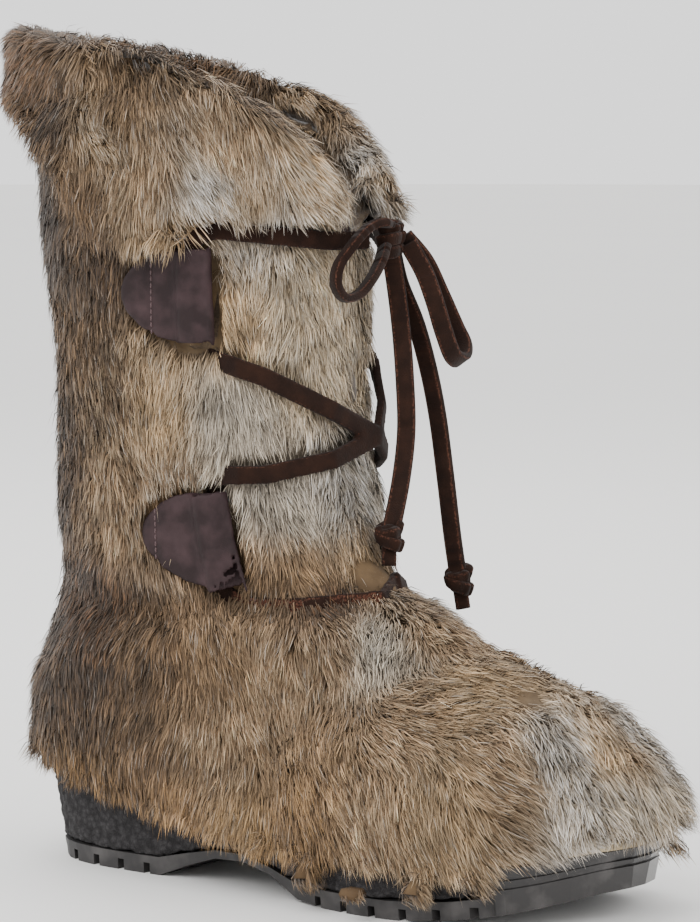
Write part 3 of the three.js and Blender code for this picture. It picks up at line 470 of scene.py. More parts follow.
def suede_thong(dark, pale):
    """Split suede, cut into a flat thong: matt napped faces, with pale raw lines along the cut edges."""
    material, tree, shader = new_material(
        "suede_thong_cut", Roughness=0.95, Specular_IOR_Level=0.12, Sheen_Weight=0.05
    )
    place = add_node(tree, "TexCoord").outputs["Object"]
    nap = add_node(tree, "TexNoise", {"Vector": place, "Scale": 1 / (0.7 * MM), "Detail": 5.0})
    cloud = add_node(tree, "TexNoise", {"Vector": place, "Scale": 1 / (7 * MM), "Detail": 2.0})
    patch = add_node(tree, "MapRange", {"Value": cloud.outputs["Fac"], "From Min": 0.35, "From Max": 0.7})
    body = blend_colours(tree, patch.outputs[0], linear(dark), linear("#271710"))
    rim = add_node(tree, "Attribute", attribute_name="rim")
    broken = add_node(tree, "Math", {0: rim.outputs["Fac"], 1: nap.outputs["Fac"]}, operation="MULTIPLY")
    line = add_node(tree, "MapRange", {"Value": broken.outputs[0], "From Min": 0.38, "From Max": 0.62})
    tree.links.new(blend_colours(tree, line.outputs[0], body, linear(pale)), shader.inputs["Base Color"])
    bump = add_node(tree, "Bump", {"Height": nap.outputs["Fac"], "Strength": 0.7, "Distance": 0.35 * MM})
    tree.links.new(bump.outputs[0], shader.inputs["Normal"])
    return material


def crumb_rubber(colour, size):
    """Foamed rubber, moulded in a rough-cast tool: matt grey, its skin broken into crumbs a few millimetres wide."""
    material, tree, shader = new_material("foam_rubber_crumb", Roughness=0.85, Specular_IOR_Level=0.3)
    place = add_node(tree, "TexCoord").outputs["Object"]
    crumb = add_node(tree, "TexVoronoi", {"Vector": place, "Scale": 1 / size, "Randomness": 1.0})
    grit = add_node(tree, "TexNoise", {"Vector": place, "Scale": 1 / (0.8 * MM), "Detail": 4.0})
    high = add_node(tree, "Math", {0: grit.outputs["Fac"], 1: crumb.outputs["Distance"]}, operation="SUBTRACT")
    # The colour follows the crumbs' height: lighter on the raised crumbs and darker in the hollows between them.
    raised_share = add_node(tree, "MapRange", {"Value": high.outputs[0], "From Min": -0.2, "From Max": 0.5})
    tree.links.new(
        blend_colours(tree, raised_share.outputs[0], linear("#1f1d1e"), linear(colour)), shader.inputs["Base Color"]
    )
    bump = add_node(tree, "Bump", {"Height": high.outputs[0], "Strength": 0.9, "Distance": 0.8 * MM})
    tree.links.new(bump.outputs[0], shader.inputs["Normal"])
    return material


def moulded_rubber(colour, bumper_x):
    """Moulded black rubber: satin lugs with a dusty bloom, and a glossier bumper from a polished tool."""
    material, tree, shader = new_material("rubber_moulded_black", Specular_IOR_Level=0.5)
    place = add_node(tree, "TexCoord").outputs["Object"]
    cloud = add_node(tree, "TexNoise", {"Vector": place, "Scale": 1 / (11 * MM), "Detail": 5.0})
    bloom = add_node(tree, "MapRange", {"Value": cloud.outputs["Fac"], "From Min": 0.45, "From Max": 0.8})
    tree.links.new(
        blend_colours(tree, bloom.outputs[0], linear(colour), linear("#4b4847")), shader.inputs["Base Color"]
    )
    along = add_node(tree, "SeparateXYZ", {"Vector": place})
    polish = add_node(
        tree, "MapRange",
        {"Value": along.outputs["X"], "From Min": bumper_x, "From Max": bumper_x + 4 * MM,
         "To Min": 0.62, "To Max": 0.26},
    )
    tree.links.new(polish.outputs[0], shader.inputs["Roughness"])
    grit = add_node(tree, "TexNoise", {"Vector": place, "Scale": 1 / (1.2 * MM), "Detail": 3.0})
    bump = add_node(tree, "Bump", {"Height": grit.outputs["Fac"], "Strength": 0.2, "Distance": 0.2 * MM})
    tree.links.new(bump.outputs[0], shader.inputs["Normal"])
    return material


def waxed_thread():
    """Waxed polyester thread, spun and sewn: brown, twisted about every half millimetre."""
    material, tree, shader = new_material("thread_waxed_polyester", Roughness=0.5)
    place = add_node(tree, "TexCoord").outputs["Object"]
    ply = add_node(tree, "TexWave", {"Vector": place, "Scale": 1 / (1.6 * MM)}, bands_direction="DIAGONAL")
    tree.links.new(
        blend_colours(tree, ply.outputs["Fac"], linear("#2a1b1c"), linear("#5b4345")),
        shader.inputs["Base Color"],
    )
    return material


def sheet_vinyl(colour):
    """Sheet vinyl, calendered: the pale, even studio floor."""
    material, tree, shader = new_material("vinyl_sheet_floor", Roughness=0.75, Specular_IOR_Level=0.2)
    place = add_node(tree, "TexCoord").outputs["Object"]
    cloud = add_node(tree, "TexNoise", {"Vector": place, "Scale": 2.0})
    tree.links.new(
        blend_colours(tree, cloud.outputs["Fac"], linear("#efeeec"), linear(colour)),
        shader.inputs["Base Color"],
    )
    return material


def view_axes():
    """The camera's right, up and back, as unit vectors."""
    view = bpy.context.scene.mukluk_view
    turn, rise = view.azimuth, view.elevation
    back = Vector((math.sin(turn) * math.cos(rise), -math.cos(turn) * math.cos(rise), math.sin(rise)))
    right = Vector((math.cos(turn), math.sin(turn), 0))
    return right, back.cross(right), back


def photo_ray(pixel):
    """The eye and the direction through a place in the photograph's frame."""
    view = bpy.context.scene.mukluk_view
    right, up, back = view_axes()
    eye = Vector(view.target) + back * view.distance
    x = (pixel[0] - PHOTO_SIZE[0] / 2) / PIXELS_PER_RADIAN
    y = (PHOTO_SIZE[1] / 2 - pixel[1]) / PIXELS_PER_RADIAN
    return eye, (right * x + up * y - back).normalized()


def link(piece, material, slot_name, *nodes):
    """Puts a finished piece on the boot's body, with its material and the nodes that it stands for; the slot name is
    not used.
    """
    if material:
        piece.data.materials.append(material)
    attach(piece, BODY)
    if nodes:
        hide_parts(*nodes)
    return piece


def object_from(bm, name):
    """A new object from a bmesh, in the scene."""
    mesh = bpy.data.meshes.new(name)
    bm.to_mesh(mesh)
    bm.free()
    mesh.shade_smooth()
    piece = bpy.data.objects.new(name, mesh)
    bpy.context.scene.collection.objects.link(piece)
    return piece


def soft_copy(node, name, voxel, passes):
    """A node's merged copy, remeshed to even faces and smoothed, as a new object."""
    bm = bmesh.new()
    bm.from_mesh(frame["nodes"][node].data)
    bmesh.ops.remove_doubles(bm, verts=bm.verts, dist=0.02 * MM)
    piece = object_from(bm, name)
    remesh = piece.modifiers.new("Even", "REMESH")
    remesh.mode = "VOXEL"
    remesh.voxel_size = voxel
    smooth = piece.modifiers.new("Soft", "SMOOTH")
    smooth.factor = 0.5
    smooth.iterations = passes
    bpy.context.view_layer.update()
    finished = bpy.data.meshes.new_from_object(piece.evaluated_get(bpy.context.evaluated_depsgraph_get()))
    piece.modifiers.clear()
    piece.data = finished
    finished.name = name
    finished.shade_smooth()
    return piece


def tree_of(objects):
    """One search tree over the meshes of several objects."""
    points, faces = [], []
    for thing in objects:
        start = len(points)
        points += [v.co.copy() for v in thing.data.vertices]
        faces += [[start + i for i in p.vertices] for p in thing.data.polygons]
    return BVHTree.FromPolygons(points, faces)


def smooth_route(points, per_gap):
    """Points along a centripetal Catmull-Rom curve, with its tangents."""
    ends = [points[0] * 2 - points[1]] + points + [points[-1] * 2 - points[-2]]
    places, tangents = [], []
    for i in range(1, len(ends) - 2):
        p0, p1, p2, p3 = ends[i - 1:i + 3]
        d0, d1, d2 = [max((b - a).length, 1e-9) ** 0.5 for a, b in ((p0, p1), (p1, p2), (p2, p3))]
        m1 = ((p1 - p0) / d0 - (p2 - p0) / (d0 + d1) + (p2 - p1) / d1) * d1
        m2 = ((p2 - p1) / d1 - (p3 - p1) / (d1 + d2) + (p3 - p2) / d2) * d1
        last = i == len(ends) - 3
        for k in range(per_gap + (1 if last else 0)):
            t = k / per_gap
            places.append(
                p1 * (2 * t**3 - 3 * t**2 + 1) + m1 * (t**3 - 2 * t**2 + t)
                + p2 * (3 * t**2 - 2 * t**3) + m2 * (t**3 - t**2)
            )
            tangents.append(
                (p1 * (6 * t * t - 6 * t) + m1 * (3 * t * t - 4 * t + 1)
                 + p2 * (6 * t - 6 * t * t) + m2 * (3 * t * t - 2 * t)).normalized()
            )
    return places, tangents


def station(place, tangent, breadth):
    """The matrix of a thong's section: its breadth along x, its thickness along y, its way along z."""
    across = (breadth - tangent * breadth.dot(tangent)).normalized()
    through = tangent.cross(across)
    turned = Matrix((across, through, tangent)).transposed().to_4x4()
    return Matrix.Translation(place) @ turned


def thong_strip(bm, places, tangents, breadths, size, sides=16):
    """Sweeps the thong's rounded flat section along a route, and marks its corners as cut edges."""
    rim = bm.verts.layers.float.get("rim") or bm.verts.layers.float.new("rim")
    ring = bmesh.ops.create_circle(bm, cap_ends=True, segments=sides, radius=1)["verts"]
    for v in ring:
        c, s = v.co.x, v.co.y
        v[rim] = abs(2 * c * s) ** 1.5
        v.co.x = math.copysign(abs(c) ** 0.55, c) * size[0] / 2
        v.co.y = math.copysign(abs(s) ** 0.7, s) * size[1] / 2
    face = ring[0].link_faces[0]
    before = station(places[0], tangents[0], breadths[0])
    bmesh.ops.transform(bm, matrix=before, verts=ring)
    for place, tangent, breadth in zip(places[1:], tangents[1:], breadths[1:]):
        after = station(place, tangent, breadth)
        grown = bmesh.ops.extrude_face_region(bm, geom=[face])["geom"]
        face = next(g for g in grown if isinstance(g, bmesh.types.BMFace))
        moved = [g for g in grown if isinstance(g, bmesh.types.BMVert)]
        bmesh.ops.transform(bm, matrix=after @ before.inverted(), verts=moved)
        before = after
    bmesh.ops.holes_fill(bm, edges=[e for e in bm.edges if e.is_boundary])
    bmesh.ops.recalc_face_normals(bm, faces=bm.faces)


def knot_turns(bm, centre, size, wraps, lean, thong):
    """Wraps of thong round a knot's middle: flat turns side by side, each a little over the one before."""
    steps = 18
    reach = Vector(size) / 2 - Vector((thong[1], thong[1], 0)) * 0.5
    for wrap, (height, tilt, share) in enumerate(wraps):
        places, breadths = [], []
        for k in range(steps + 1):
            turn = k / steps * math.tau * 0.985
            out = Vector((math.cos(turn) * reach.x, math.sin(turn) * reach.y, 0)) * share
            rise = height + tilt * math.sin(turn + wrap)
            places.append(centre + out + Vector((0, 0, rise)))
            breadths.append(Vector((lean * math.cos(turn), lean * math.sin(turn), 1)))
        tangents = [(b - a).normalized() for a, b in zip(places, places[1:])]
        tangents.append(tangents[0])
        thong_strip(bm, places, tangents, breadths, (thong[0] * 0.72, thong[1]), 12)


def points_and_normals(mesh):
    """A mesh's vertices and their normals, as rows of arrays."""
    points = np.zeros(len(mesh.vertices) * 3)
    normals = np.zeros(len(mesh.vertices) * 3)
    mesh.vertices.foreach_get("co", points)
    mesh.vertices.foreach_get("normal", normals)
    return points.reshape(-1, 3), normals.reshape(-1, 3)


def place_points(mesh, points):
    """Moves a mesh's vertices to the rows of an array."""
    mesh.vertices.foreach_set("co", points.ravel())
    mesh.update()


def leg_foot():
    """The point on the floor under the middle of the leg."""
    low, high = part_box("cuff")
    return Vector(((low.x + high.x) / 2, (low.y + high.y) / 2, 0))


class MUKLUK_OT_camera(bpy.types.Operator):
    """Add the camera at the photograph's angle"""

    bl_idname = "mukluk.camera"
    bl_label = "Camera"

    def execute(self, context):
        view = context.scene.mukluk_view
        right, up, back = view_axes()
        data = bpy.data.cameras.new("camera")
        data.sensor_fit = "VERTICAL"
        data.sensor_height = SENSOR
        data.sensor_width = SENSOR
        data.lens = SENSOR * PIXELS_PER_RADIAN / PHOTO_SIZE[1]
        camera = bpy.data.objects.new("camera", data)
        turned = Matrix((right, up, back)).transposed().to_4x4()
        camera.matrix_world = Matrix.Translation(Vector(view.target) + back * view.distance) @ turned
        context.scene.collection.objects.link(camera)
        context.scene.camera = camera
        return {"FINISHED"}


class MUKLUK_OT_bow(bpy.types.Operator):
    """Tie the bow: its knot, two loops and two hanging ends, each with its own knot"""

    bl_idname = "mukluk.bow"
    bl_label = "Bow"

    def execute(self, context):
        thong = context.scene.mukluk_thong
        size = (thong.breadth, thong.thickness)
        material = suede_thong(thong.dark, thong.pale)
        low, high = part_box("bow_knot")
        middle = (low + high) / 2
        bm = bmesh.new()
        wraps = [(-4.5 * MM, 0.8 * MM, 0.8), (0, 1.0 * MM, 1.0), (4.5 * MM, -0.8 * MM, 0.8)]
        knot_turns(bm, middle, high - low, wraps, 0.25, size)
        core = bmesh.ops.create_icosphere(bm, subdivisions=3, radius=1)["verts"]
        shrink = Matrix.Diagonal([*((high - low) * 0.42), 1])
        bmesh.ops.transform(bm, matrix=Matrix.Translation(middle) @ shrink, verts=core)
        knot = link(object_from(bm, "thong_bow_knot"), material, "suede", "bow_knot")
        for name, strip in BOW.items():
            route = [middle + Vector(p) * MM for p in strip["route"]]
            places, tangents = smooth_route(route, 7)
            bm = bmesh.new()
            thong_strip(bm, places, tangents, [Vector(strip["across"]).normalized()] * len(places), size)
            piece = link(object_from(bm, "thong_" + name), material, "suede", name)
            on_it = [knot] if name == "lace_end_outer" else []
            if name in END_KNOTS:
                on_it.append(self.end_knot(END_KNOTS[name], tangents[-1], size, material))
        return {"FINISHED"}

    def end_knot(self, node, tangent, size, material):
        """An overhand knot at the end of the thong: two crossing wraps over a core, and a short cut tail."""
        low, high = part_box(node)
        middle = (low + high) / 2
        bm = bmesh.new()
        wraps = [(2.6 * MM, 1.8 * MM, 0.92), (-1.6 * MM, -1.8 * MM, 1.0)]
        knot_turns(bm, middle, high - low, wraps, 0.3, size)
        core = bmesh.ops.create_icosphere(bm, subdivisions=3, radius=1)["verts"]
        shrink = Matrix.Diagonal([*((high - low) * 0.4), 1])
        bmesh.ops.transform(bm, matrix=Matrix.Translation(middle) @ shrink, verts=core)
        down = (tangent + Vector((0.1, 0.15, -1))).normalized()
        tail = [middle + down * step * MM for step in (3, 6, 9, 11.5)]
        breadth = down.orthogonal().normalized()
        thong_strip(bm, tail, [down] * len(tail), [breadth] * len(tail), (size[0] * 0.8, size[1]), 12)
        return link(object_from(bm, "thong_" + node), material, "suede", node)


class MUKLUK_OT_lacing(bpy.types.Operator):
    """Lay the thong between the tabs, rounded and napped"""

    bl_idname = "mukluk.lacing"
    bl_label = "Lacing"

    def execute(self, context):
        thong = context.scene.mukluk_thong
        piece = soft_copy("lacing", "thong_lacing", 1.1 * MM, 3)
        points, normals = points_and_normals(piece.data)
        out = unit((points - np.array(leg_foot())) * (1, 1, 0))
        flat = (normals * out).sum(axis=1) ** 2
        rim = piece.data.attributes.new("rim", "FLOAT", "POINT")
        rim.data.foreach_set("value", (4 * flat * (1 - flat)) ** 4)
        place_points(piece.data, points - out * (buried(points, thong) * thong.buried_depth)[:, None])
        link(piece, suede_thong(thong.dark, thong.pale), "suede", "lacing")
        return {"FINISHED"}


class MUKLUK_OT_tabs(bpy.types.Operator):
    """Sew the four leather tabs and fold the tongue"""

    bl_idname = "mukluk.tabs"
    bl_label = "Leather Tabs and Tongue"

    def execute(self, context):
        leather = context.scene.mukluk_leather
        material = smooth_leather("cowhide_smooth_waxed", leather.colour)
        stitches = bmesh.new()
        foot = leg_foot()
        for node in TABS:
            tab = soft_copy(node, "leather_" + node, 0.95 * MM, 5)
            out = self.seam_way(node, leather.seam_turn)
            self.press_seam(tab, foot, out)
            self.sew(stitches, tab, node, leather, foot, out)
            link(tab, material, "leather", node)
        link(object_from(stitches, "tab_stitches"), waxed_thread(), "leather")
        tongue = soft_copy("tongue", "leather_tongue", 2 * MM, 2)
        pleat = 9 * MM
        deep = 0.9 * MM
        for v in tongue.data.vertices:
            v.co.x -= deep * (1 + math.sin(v.co.y / pleat * math.tau + v.co.z / (40 * MM)))
        link(tongue, smooth_leather("cowhide_soft_tongue", "#33272a"), "leather", "tongue")
        return {"FINISHED"}

    def seam_way(self, node, turn):
        """The way outwards from the leg to a tab's seam."""
        side = -1 if "outer" in node else 1
        return Vector((math.cos(turn), side * math.sin(turn), 0))

    def press_seam(self, tab, foot, out):
        """Presses the leather in along the seam between the tunnel and the flat of the tab."""
        points, normals = points_and_normals(tab.data)
        reach = (points - np.array(foot)) * (1, 1, 0)
        off = np.linalg.norm(reach - np.outer(reach @ np.array(out), out), axis=1)
        pressed = 0.55 * MM * np.exp(-((off / (1.6 * MM)) ** 2))
        place_points(tab.data, points - normals * pressed[:, None])

    def sew(self, bm, tab, node, leather, foot, out):
        """A row of stitches down a tab's seam."""
        tree = tree_of([tab])
        low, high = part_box(node)
        z = low.z + 3 * MM
        while z < high.z - 3 * MM:
            middle = foot + Vector((0, 0, z))
            place, _, _, _ = tree.ray_cast(middle + out * 0.15, -out)
            if place:
                made = bmesh.ops.create_uvsphere(bm, u_segments=8, v_segments=6, radius=1)["verts"]
                size = Matrix.Diagonal((0.42 * MM, 0.42 * MM, leather.stitch * 0.42, 1))
                bmesh.ops.transform(bm, matrix=Matrix.Translation(place) @ size, verts=made)
            z += leather.stitch


class MUKLUK_OT_sole(bpy.types.Operator):
    """Finish the rubber sole and the felt insole"""

    bl_idname = "mukluk.sole"
    bl_label = "Sole"

    def execute(self, context):
        sole = context.scene.mukluk_sole
        wedge = soft_copy("midsole", "sidewall_crumb", 2.1 * MM, 1)
        size = sole.crumb_size
        points, normals = points_and_normals(wedge.data)
        places = [Vector(p) / size for p in points]
        lift = np.array([noise.cell(p * 0.5) + noise.noise(p) * 1.6 - 0.6 for p in places])
        place_points(wedge.data, points + normals * lift[:, None] * sole.crumb)
        link(wedge, crumb_rubber(sole.sidewall, size), "sidewall", "midsole")
        bumper_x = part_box("outsole")[1].x - 36 * MM
        tread = moulded_rubber(sole.rubber, bumper_x)
        felt = wool_felt("wool_felt_insole", "#c9b694", "#8f7b5c")
        for node, material in (("outsole", tread), ("insole", felt)):
            data = frame["nodes"][node].data
            data.materials.clear()
            data.materials.append(material)
        return {"FINISHED"}


class CoatGuides:
    """The coat's listed guides, read at any place on the boot."""

    def __init__(self, hide):
        right, up, _ = view_axes()
        places, combs, bands, tips, numbers = [], [], [], [], []
        for pixel, comb, band, tip, ticking, length, lift in COMBING:
            place, normal, _, _ = hide.ray_cast(*photo_ray(pixel))
            if place is None:
                continue
            way = right * comb[0] - up * comb[1]
            way = (way - normal * way.dot(normal)).normalized()
            for mirror in (1, -1):
                flip = Vector((1, mirror, 1))
                places.append(place * flip)
                combs.append(way * flip)
                bands.append(linear(COAT[band])[:3])
                tips.append(linear(COAT[tip])[:3])
                numbers.append((ticking, length * MM, math.radians(lift)))
        self.places = np.array([tuple(p) for p in places])
        self.values = np.hstack(
            [np.array([tuple(c) for c in combs]), np.array(bands), np.array(tips), np.array(numbers)]
        )

    def read(self, points):
        """For each point: the comb's way, band and tip colours, and ticking, length and lift."""
        soft = 9 * MM
        out = np.zeros((len(points), self.values.shape[1]))
        for start in range(0, len(points), 20000):
            part = points[start:start + 20000]
            far = ((part[:, None, :] - self.places[None]) ** 2).sum(axis=2)
            weight = 1 / (far + soft**2) ** 2.5
            out[start:start + 20000] = (weight @ self.values) / weight.sum(axis=1)[:, None]
        return out[:, 0:3], out[:, 3:6], out[:, 6:9], out[:, 9], out[:, 10], out[:, 11]


def unit(vectors):
    """Rows of an array as unit vectors."""
    return vectors / np.maximum(np.linalg.norm(vectors, axis=1), 1e-9)[:, None]


def buried(points, thong):
    """How far the fur lies over the thong at each point, from none to all: beside the tabs and down low."""
    foot = leg_foot()
    turn = np.abs(np.arctan2(points[:, 1] - foot.y, points[:, 0] - foot.x))
    beside = np.clip((turn - thong.buried_turn) / math.radians(9) + 0.5, 0, 1)
    beside = beside * (points[:, 2] < 0.235)
    low = np.clip((thong.buried_height - points[:, 2]) / (6 * MM) + 0.5, 0, 1)
    return np.maximum(beside, low)


def flat_to(vectors, normals):
    """Rows of an array laid flat on surfaces with these normals."""
    return unit(vectors - normals * (vectors * normals).sum(axis=1)[:, None])


def press_creases(mesh, hide):
    """Presses the listed creases into a hide, and raises its ridges."""
    lines = []
    for pixels, half, depth in CREASES:
        hits = [hide.ray_cast(*photo_ray(p))[0] for p in pixels]
        hits = [h for h in hits if h is not None]
        for mirror in (1, -1):
            lines.append(([h * Vector((1, mirror, 1)) for h in hits], half * MM, depth * MM))
    points, normals = points_and_normals(mesh)
    count = len(points)
    shift = np.zeros(count)
    for places, half, depth in lines:
        nearest = np.full(count, 1e9)
        for a, b in zip(places, places[1:]):
            start, way = np.array(a), np.array(b - a)
            t = np.clip(((points - start) @ way) / max(way @ way, 1e-12), 0, 1)
            nearest = np.minimum(nearest, np.linalg.norm(points - start - t[:, None] * way, axis=1))
        shift += depth * np.exp(-((nearest / half) ** 2))
    place_points(mesh, points - normals * shift[:, None])


def open_faces(piece, others, reach):
    """Which faces of a hide see open air within a reach: fur grows there and nowhere else."""
    tree = tree_of(others)
    open_air = np.zeros(len(piece.data.polygons), bool)
    for p in piece.data.polygons:
        hit = tree.ray_cast(p.center + p.normal * 1.5 * MM, p.normal, reach)
        open_air[p.index] = hit[0] is None
    return open_air


def ankle_front(mesh):
    """Which faces lie on the front of the ankle, where the foot stands before the leg but fur still grows."""
    foot = leg_foot()
    chosen = np.zeros(len(mesh.polygons), bool)
    for p in mesh.polygons:
        out = ((p.center - foot) * Vector((1, 1, 0))).normalized()
        chosen[p.index] = 0.1 < p.center.z < 0.16 and p.center.x > 0.06 and p.normal.dot(out) > 0.25
    return chosen


def sink_hide(piece, open_air, depth):
    """Moves a hide's outer side in under the fur's surface, fading out at its edges."""
    mesh = piece.data
    share = np.zeros(len(mesh.vertices))
    count = np.zeros(len(mesh.vertices))
    for p in mesh.polygons:
        for i in p.vertices:
            share[i] += open_air[p.index]
            count[i] += 1
    share /= np.maximum(count, 1)
    points, normals = points_and_normals(mesh)
    place_points(mesh, points - normals * depth * share[:, None])


class Hide:
    """One piece of hide as arrays, for growing hair on."""

    def __init__(self, piece, open_air):
        mesh = piece.data
        mesh.calc_loop_triangles()
        count = len(mesh.loop_triangles)
        corners = np.zeros(count * 3, np.int32)
        polygon = np.zeros(count, np.int32)
        mesh.loop_triangles.foreach_get("vertices", corners)
        mesh.loop_triangles.foreach_get("polygon_index", polygon)
        self.points, self.normals = points_and_normals(mesh)
        self.corners = corners.reshape(-1, 3)[open_air[polygon]]
        a, b, c = [self.points[self.corners[:, k]] for k in range(3)]
        self.areas = np.linalg.norm(np.cross(b - a, c - a), axis=1) / 2
        self.middles = (a + b + c) / 3

    def scatter(self, rng, count, keep):
        """Random roots and normals, evenly over the triangles that a test keeps."""
        chosen = keep(self.middles)
        areas = self.areas * chosen
        picks = rng.choice(len(areas), count, p=areas / areas.sum())
        u, v = rng.random(count), rng.random(count)
        over = u + v > 1
        u[over], v[over] = 1 - u[over], 1 - v[over]
        shares = np.stack([1 - u - v, u, v], axis=1)[:, :, None]
        tri = self.corners[picks]
        return (self.points[tri] * shares).sum(axis=1), unit((self.normals[tri] * shares).sum(axis=1))


class Groomer:
    """Grows the coat: combs, gathers, colours and meshes its hairs."""

    def __init__(self, guides, covers, settings):
        self.guides = guides
        self.covers = covers
        self.settings = settings

    def strand(self, rng, roots, normals, rough):
        """The middle and tip of a hair from each root, with the values of its guides."""
        comb, band, tip, ticking, length, lift = self.guides.read(roots)
        count = len(roots)
        way = flat_to(comb, normals)
        side = np.cross(normals, way)
        swing = rng.normal(0, rough, count)
        wave = 0.3 * np.sin(roots[:, 0] / (17 * MM) + roots[:, 2] / (23 * MM) + 3 * roots[:, 1] / (19 * MM))
        turn = swing + wave
        way = way * np.cos(turn)[:, None] + side * np.sin(turn)[:, None]
        near_floor = np.clip(roots[:, 2] / (24 * MM), 0.3, 1)
        length = length * self.settings.trim * near_floor * rng.uniform(0.65, 1.25, count)
        lift = lift + rng.normal(0.05, 0.12, count)
        stray = rng.random(count) < 0.035
        lift = np.where(stray, lift + rng.uniform(0.15, 0.5, count), lift)
        first, second = lift + 0.28, lift - 0.2
        droop = np.array([0, 0, -1.0])
        step = length[:, None] / 2
        middle = roots + step * unit(
            way * np.cos(first)[:, None] + normals * np.sin(first)[:, None] + droop * 0.05
        )
        end = middle + step * unit(
            way * np.cos(second)[:, None] + normals * np.sin(second)[:, None] + droop * 0.16
        )
        middle[:, 2] = np.maximum(middle[:, 2], 2 * MM)
        end[:, 2] = np.maximum(end[:, 2], 2 * MM)
        return middle, end, band, tip, ticking

    def grow(self, name, hide, count, keep, seed):
        """One piece of fur on a hide."""
        rng = np.random.default_rng(self.settings.seed + seed)
        roots, normals = hide.scatter(rng, int(count * 1.12), keep)
        middle, end, band, tip, ticking = self.strand(rng, roots, normals, 0.26)
        area = (hide.areas * keep(hide.middles)).sum()
        locks = max(int(area / self.settings.clump**2), 8)
        lock_roots, lock_normals = hide.scatter(rng, locks, keep)
        lock_middle, lock_end, *_ = self.strand(rng, lock_roots, lock_normals, 0.2)
        finder = KDTree(locks)
        for i, place in enumerate(lock_roots):
            finder.insert(place, i)
        finder.balance()
        nearest = np.array([finder.find(p)[1] for p in roots])
        pull = self.settings.gather * rng.uniform(0.5, 1.3, len(roots))[:, None]
        offset = roots - lock_roots[nearest]
        middle = middle * (1 - pull * 0.35) + (lock_middle[nearest] + offset * 0.6) * pull * 0.35
        end = end * (1 - pull) + (lock_end[nearest] + offset * 0.1) * pull
        clear = self.uncovered(rng, middle, end, normals)
        kept = np.flatnonzero(clear)[:count]
        cloud = np.array([noise.noise(Vector(p) / (16 * MM)) for p in lock_roots])
        lock_tone = (rng.normal(0, 0.2, locks) + cloud * 0.5)[nearest]
        colours = self.colours(rng, band, tip, ticking, lock_tone)
        arrays = [a[kept] for a in (roots, middle, end, normals)]
        return self.mesh(rng, name, arrays, [c[kept] for c in colours])

    def uncovered(self, rng, middle, end, normals):
        """Which hairs lie clear of the leather and the thong, with a few left across them."""
        clear = np.ones(len(middle), bool)
        reach = 13 * MM
        spare = rng.random(len(middle)) < 0.05
        for share in (0.0, 0.5, 1.0):
            places = middle * (1 - share) + end * share
            for i in np.flatnonzero(clear & ~spare):
                at, way = Vector(places[i]), Vector(-normals[i])
                if self.covers.ray_cast(at - way * 2 * MM, way, reach)[0] is not None:
                    clear[i] = False
        return clear

    def colours(self, rng, band, tip, ticking, lock_tone):
        """Each hair's root, middle and tip colour: smoky and dark at the root, partly the underfur's own colour and
        partly painted shade deep in the fur, banded, then dark or pale at the tip.
        """
        count = len(band)
        tone = 0.8 * np.exp(rng.normal(0, 0.25, count) + lock_tone)[:, None]
        dark = np.array(linear(COAT["night"])[:3])
        smoke = np.array(linear(COAT["umber"])[:3])
        ticked = (rng.random(count) < ticking * 1.25)[:, None]
        pale = (rng.random(count) < 0.1)[:, None]
        # The root's dark umber is partly the underfur's own smoky colour and partly painted shade deep in the fur.
        root = (smoke * 0.7 + band * 0.15) * tone
        middle = band * tone * np.where(ticked, 0.72, 1.0)
        end = np.where(ticked, dark * 0.6 + band * 0.3, tip * tone)
        end = np.where(pale & ~ticked, end * 0.5 + np.array(linear(COAT["snow"])[:3]) * 0.45, end)
        return [np.clip(c, 0, 0.95) for c in (root, middle, end)]

    def mesh(self, rng, name, arrays, colours):
        """Joins hairs into one mesh: each is a flat wisp of a quad and a pointed tip."""
        roots, middle, end, normals = arrays
        count = len(roots)
        half = self.settings.width / 2 * rng.uniform(0.65, 1.3, count)[:, None]
        along = unit(end - roots)
        across = unit(np.cross(along, normals))
        roll = rng.normal(0, 0.6, count)[:, None]
        across = across * np.cos(roll) + unit(np.cross(along, across)) * np.sin(roll)
        points = np.stack(
            [roots - across * half, roots + across * half, middle + across * half,
             middle - across * half, end], axis=1,
        )
        first = np.arange(count)[:, None] * 5
        loops = np.hstack([first + np.array([[0, 1, 2, 3]]), first + np.array([[3, 2, 4]])])
        starts = (np.arange(count)[:, None] * 7 + np.array([[0, 4]])).ravel()
        mesh = bpy.data.meshes.new(name)
        mesh.vertices.add(count * 5)
        mesh.vertices.foreach_set("co", points.ravel())
        mesh.loops.add(count * 7)
        mesh.loops.foreach_set("vertex_index", loops.ravel().astype(np.int32))
        mesh.polygons.add(count * 2)
        mesh.polygons.foreach_set("loop_start", starts.astype(np.int32))
        mesh.update(calc_edges=True)
        coat = mesh.attributes.new("coat", "FLOAT_COLOR", "POINT")
        root, mid, tip = colours
        shades = np.stack([root, root, mid, mid, tip], axis=1)
        shades = np.concatenate([shades, np.ones((count, 5, 1))], axis=2)
        coat.data.foreach_set("color", shades.ravel())
        self.unwrap(mesh, count)
        mesh.shade_smooth()
        lean = np.repeat(normals[:, None, :], 5, axis=1) + along[:, None, :] * 0.25
        lean = lean + rng.normal(0, 0.16, (count, 1, 3))
        mesh.normals_split_custom_set_from_vertices(unit(lean.reshape(-1, 3)).tolist())
        piece = bpy.data.objects.new(name, mesh)
        bpy.context.scene.collection.objects.link(piece)
        return piece

    def unwrap(self, mesh, count):
        """Gives each hair its own cell in the piece's UV map."""
        columns = math.ceil(math.sqrt(count))
        index = np.arange(count)
        corner = np.stack([index % columns, index // columns], axis=1)[:, None, :]
        shape = np.array([[0.2, 0.1], [0.8, 0.1], [0.8, 0.5], [0.2, 0.5], [0.2, 0.5], [0.8, 0.5], [0.5, 0.9]])
        uv = (corner + shape[None]) / columns
        layer = mesh.uv_layers.new(name="OFBake")
        layer.data.foreach_set("uv", uv.ravel())


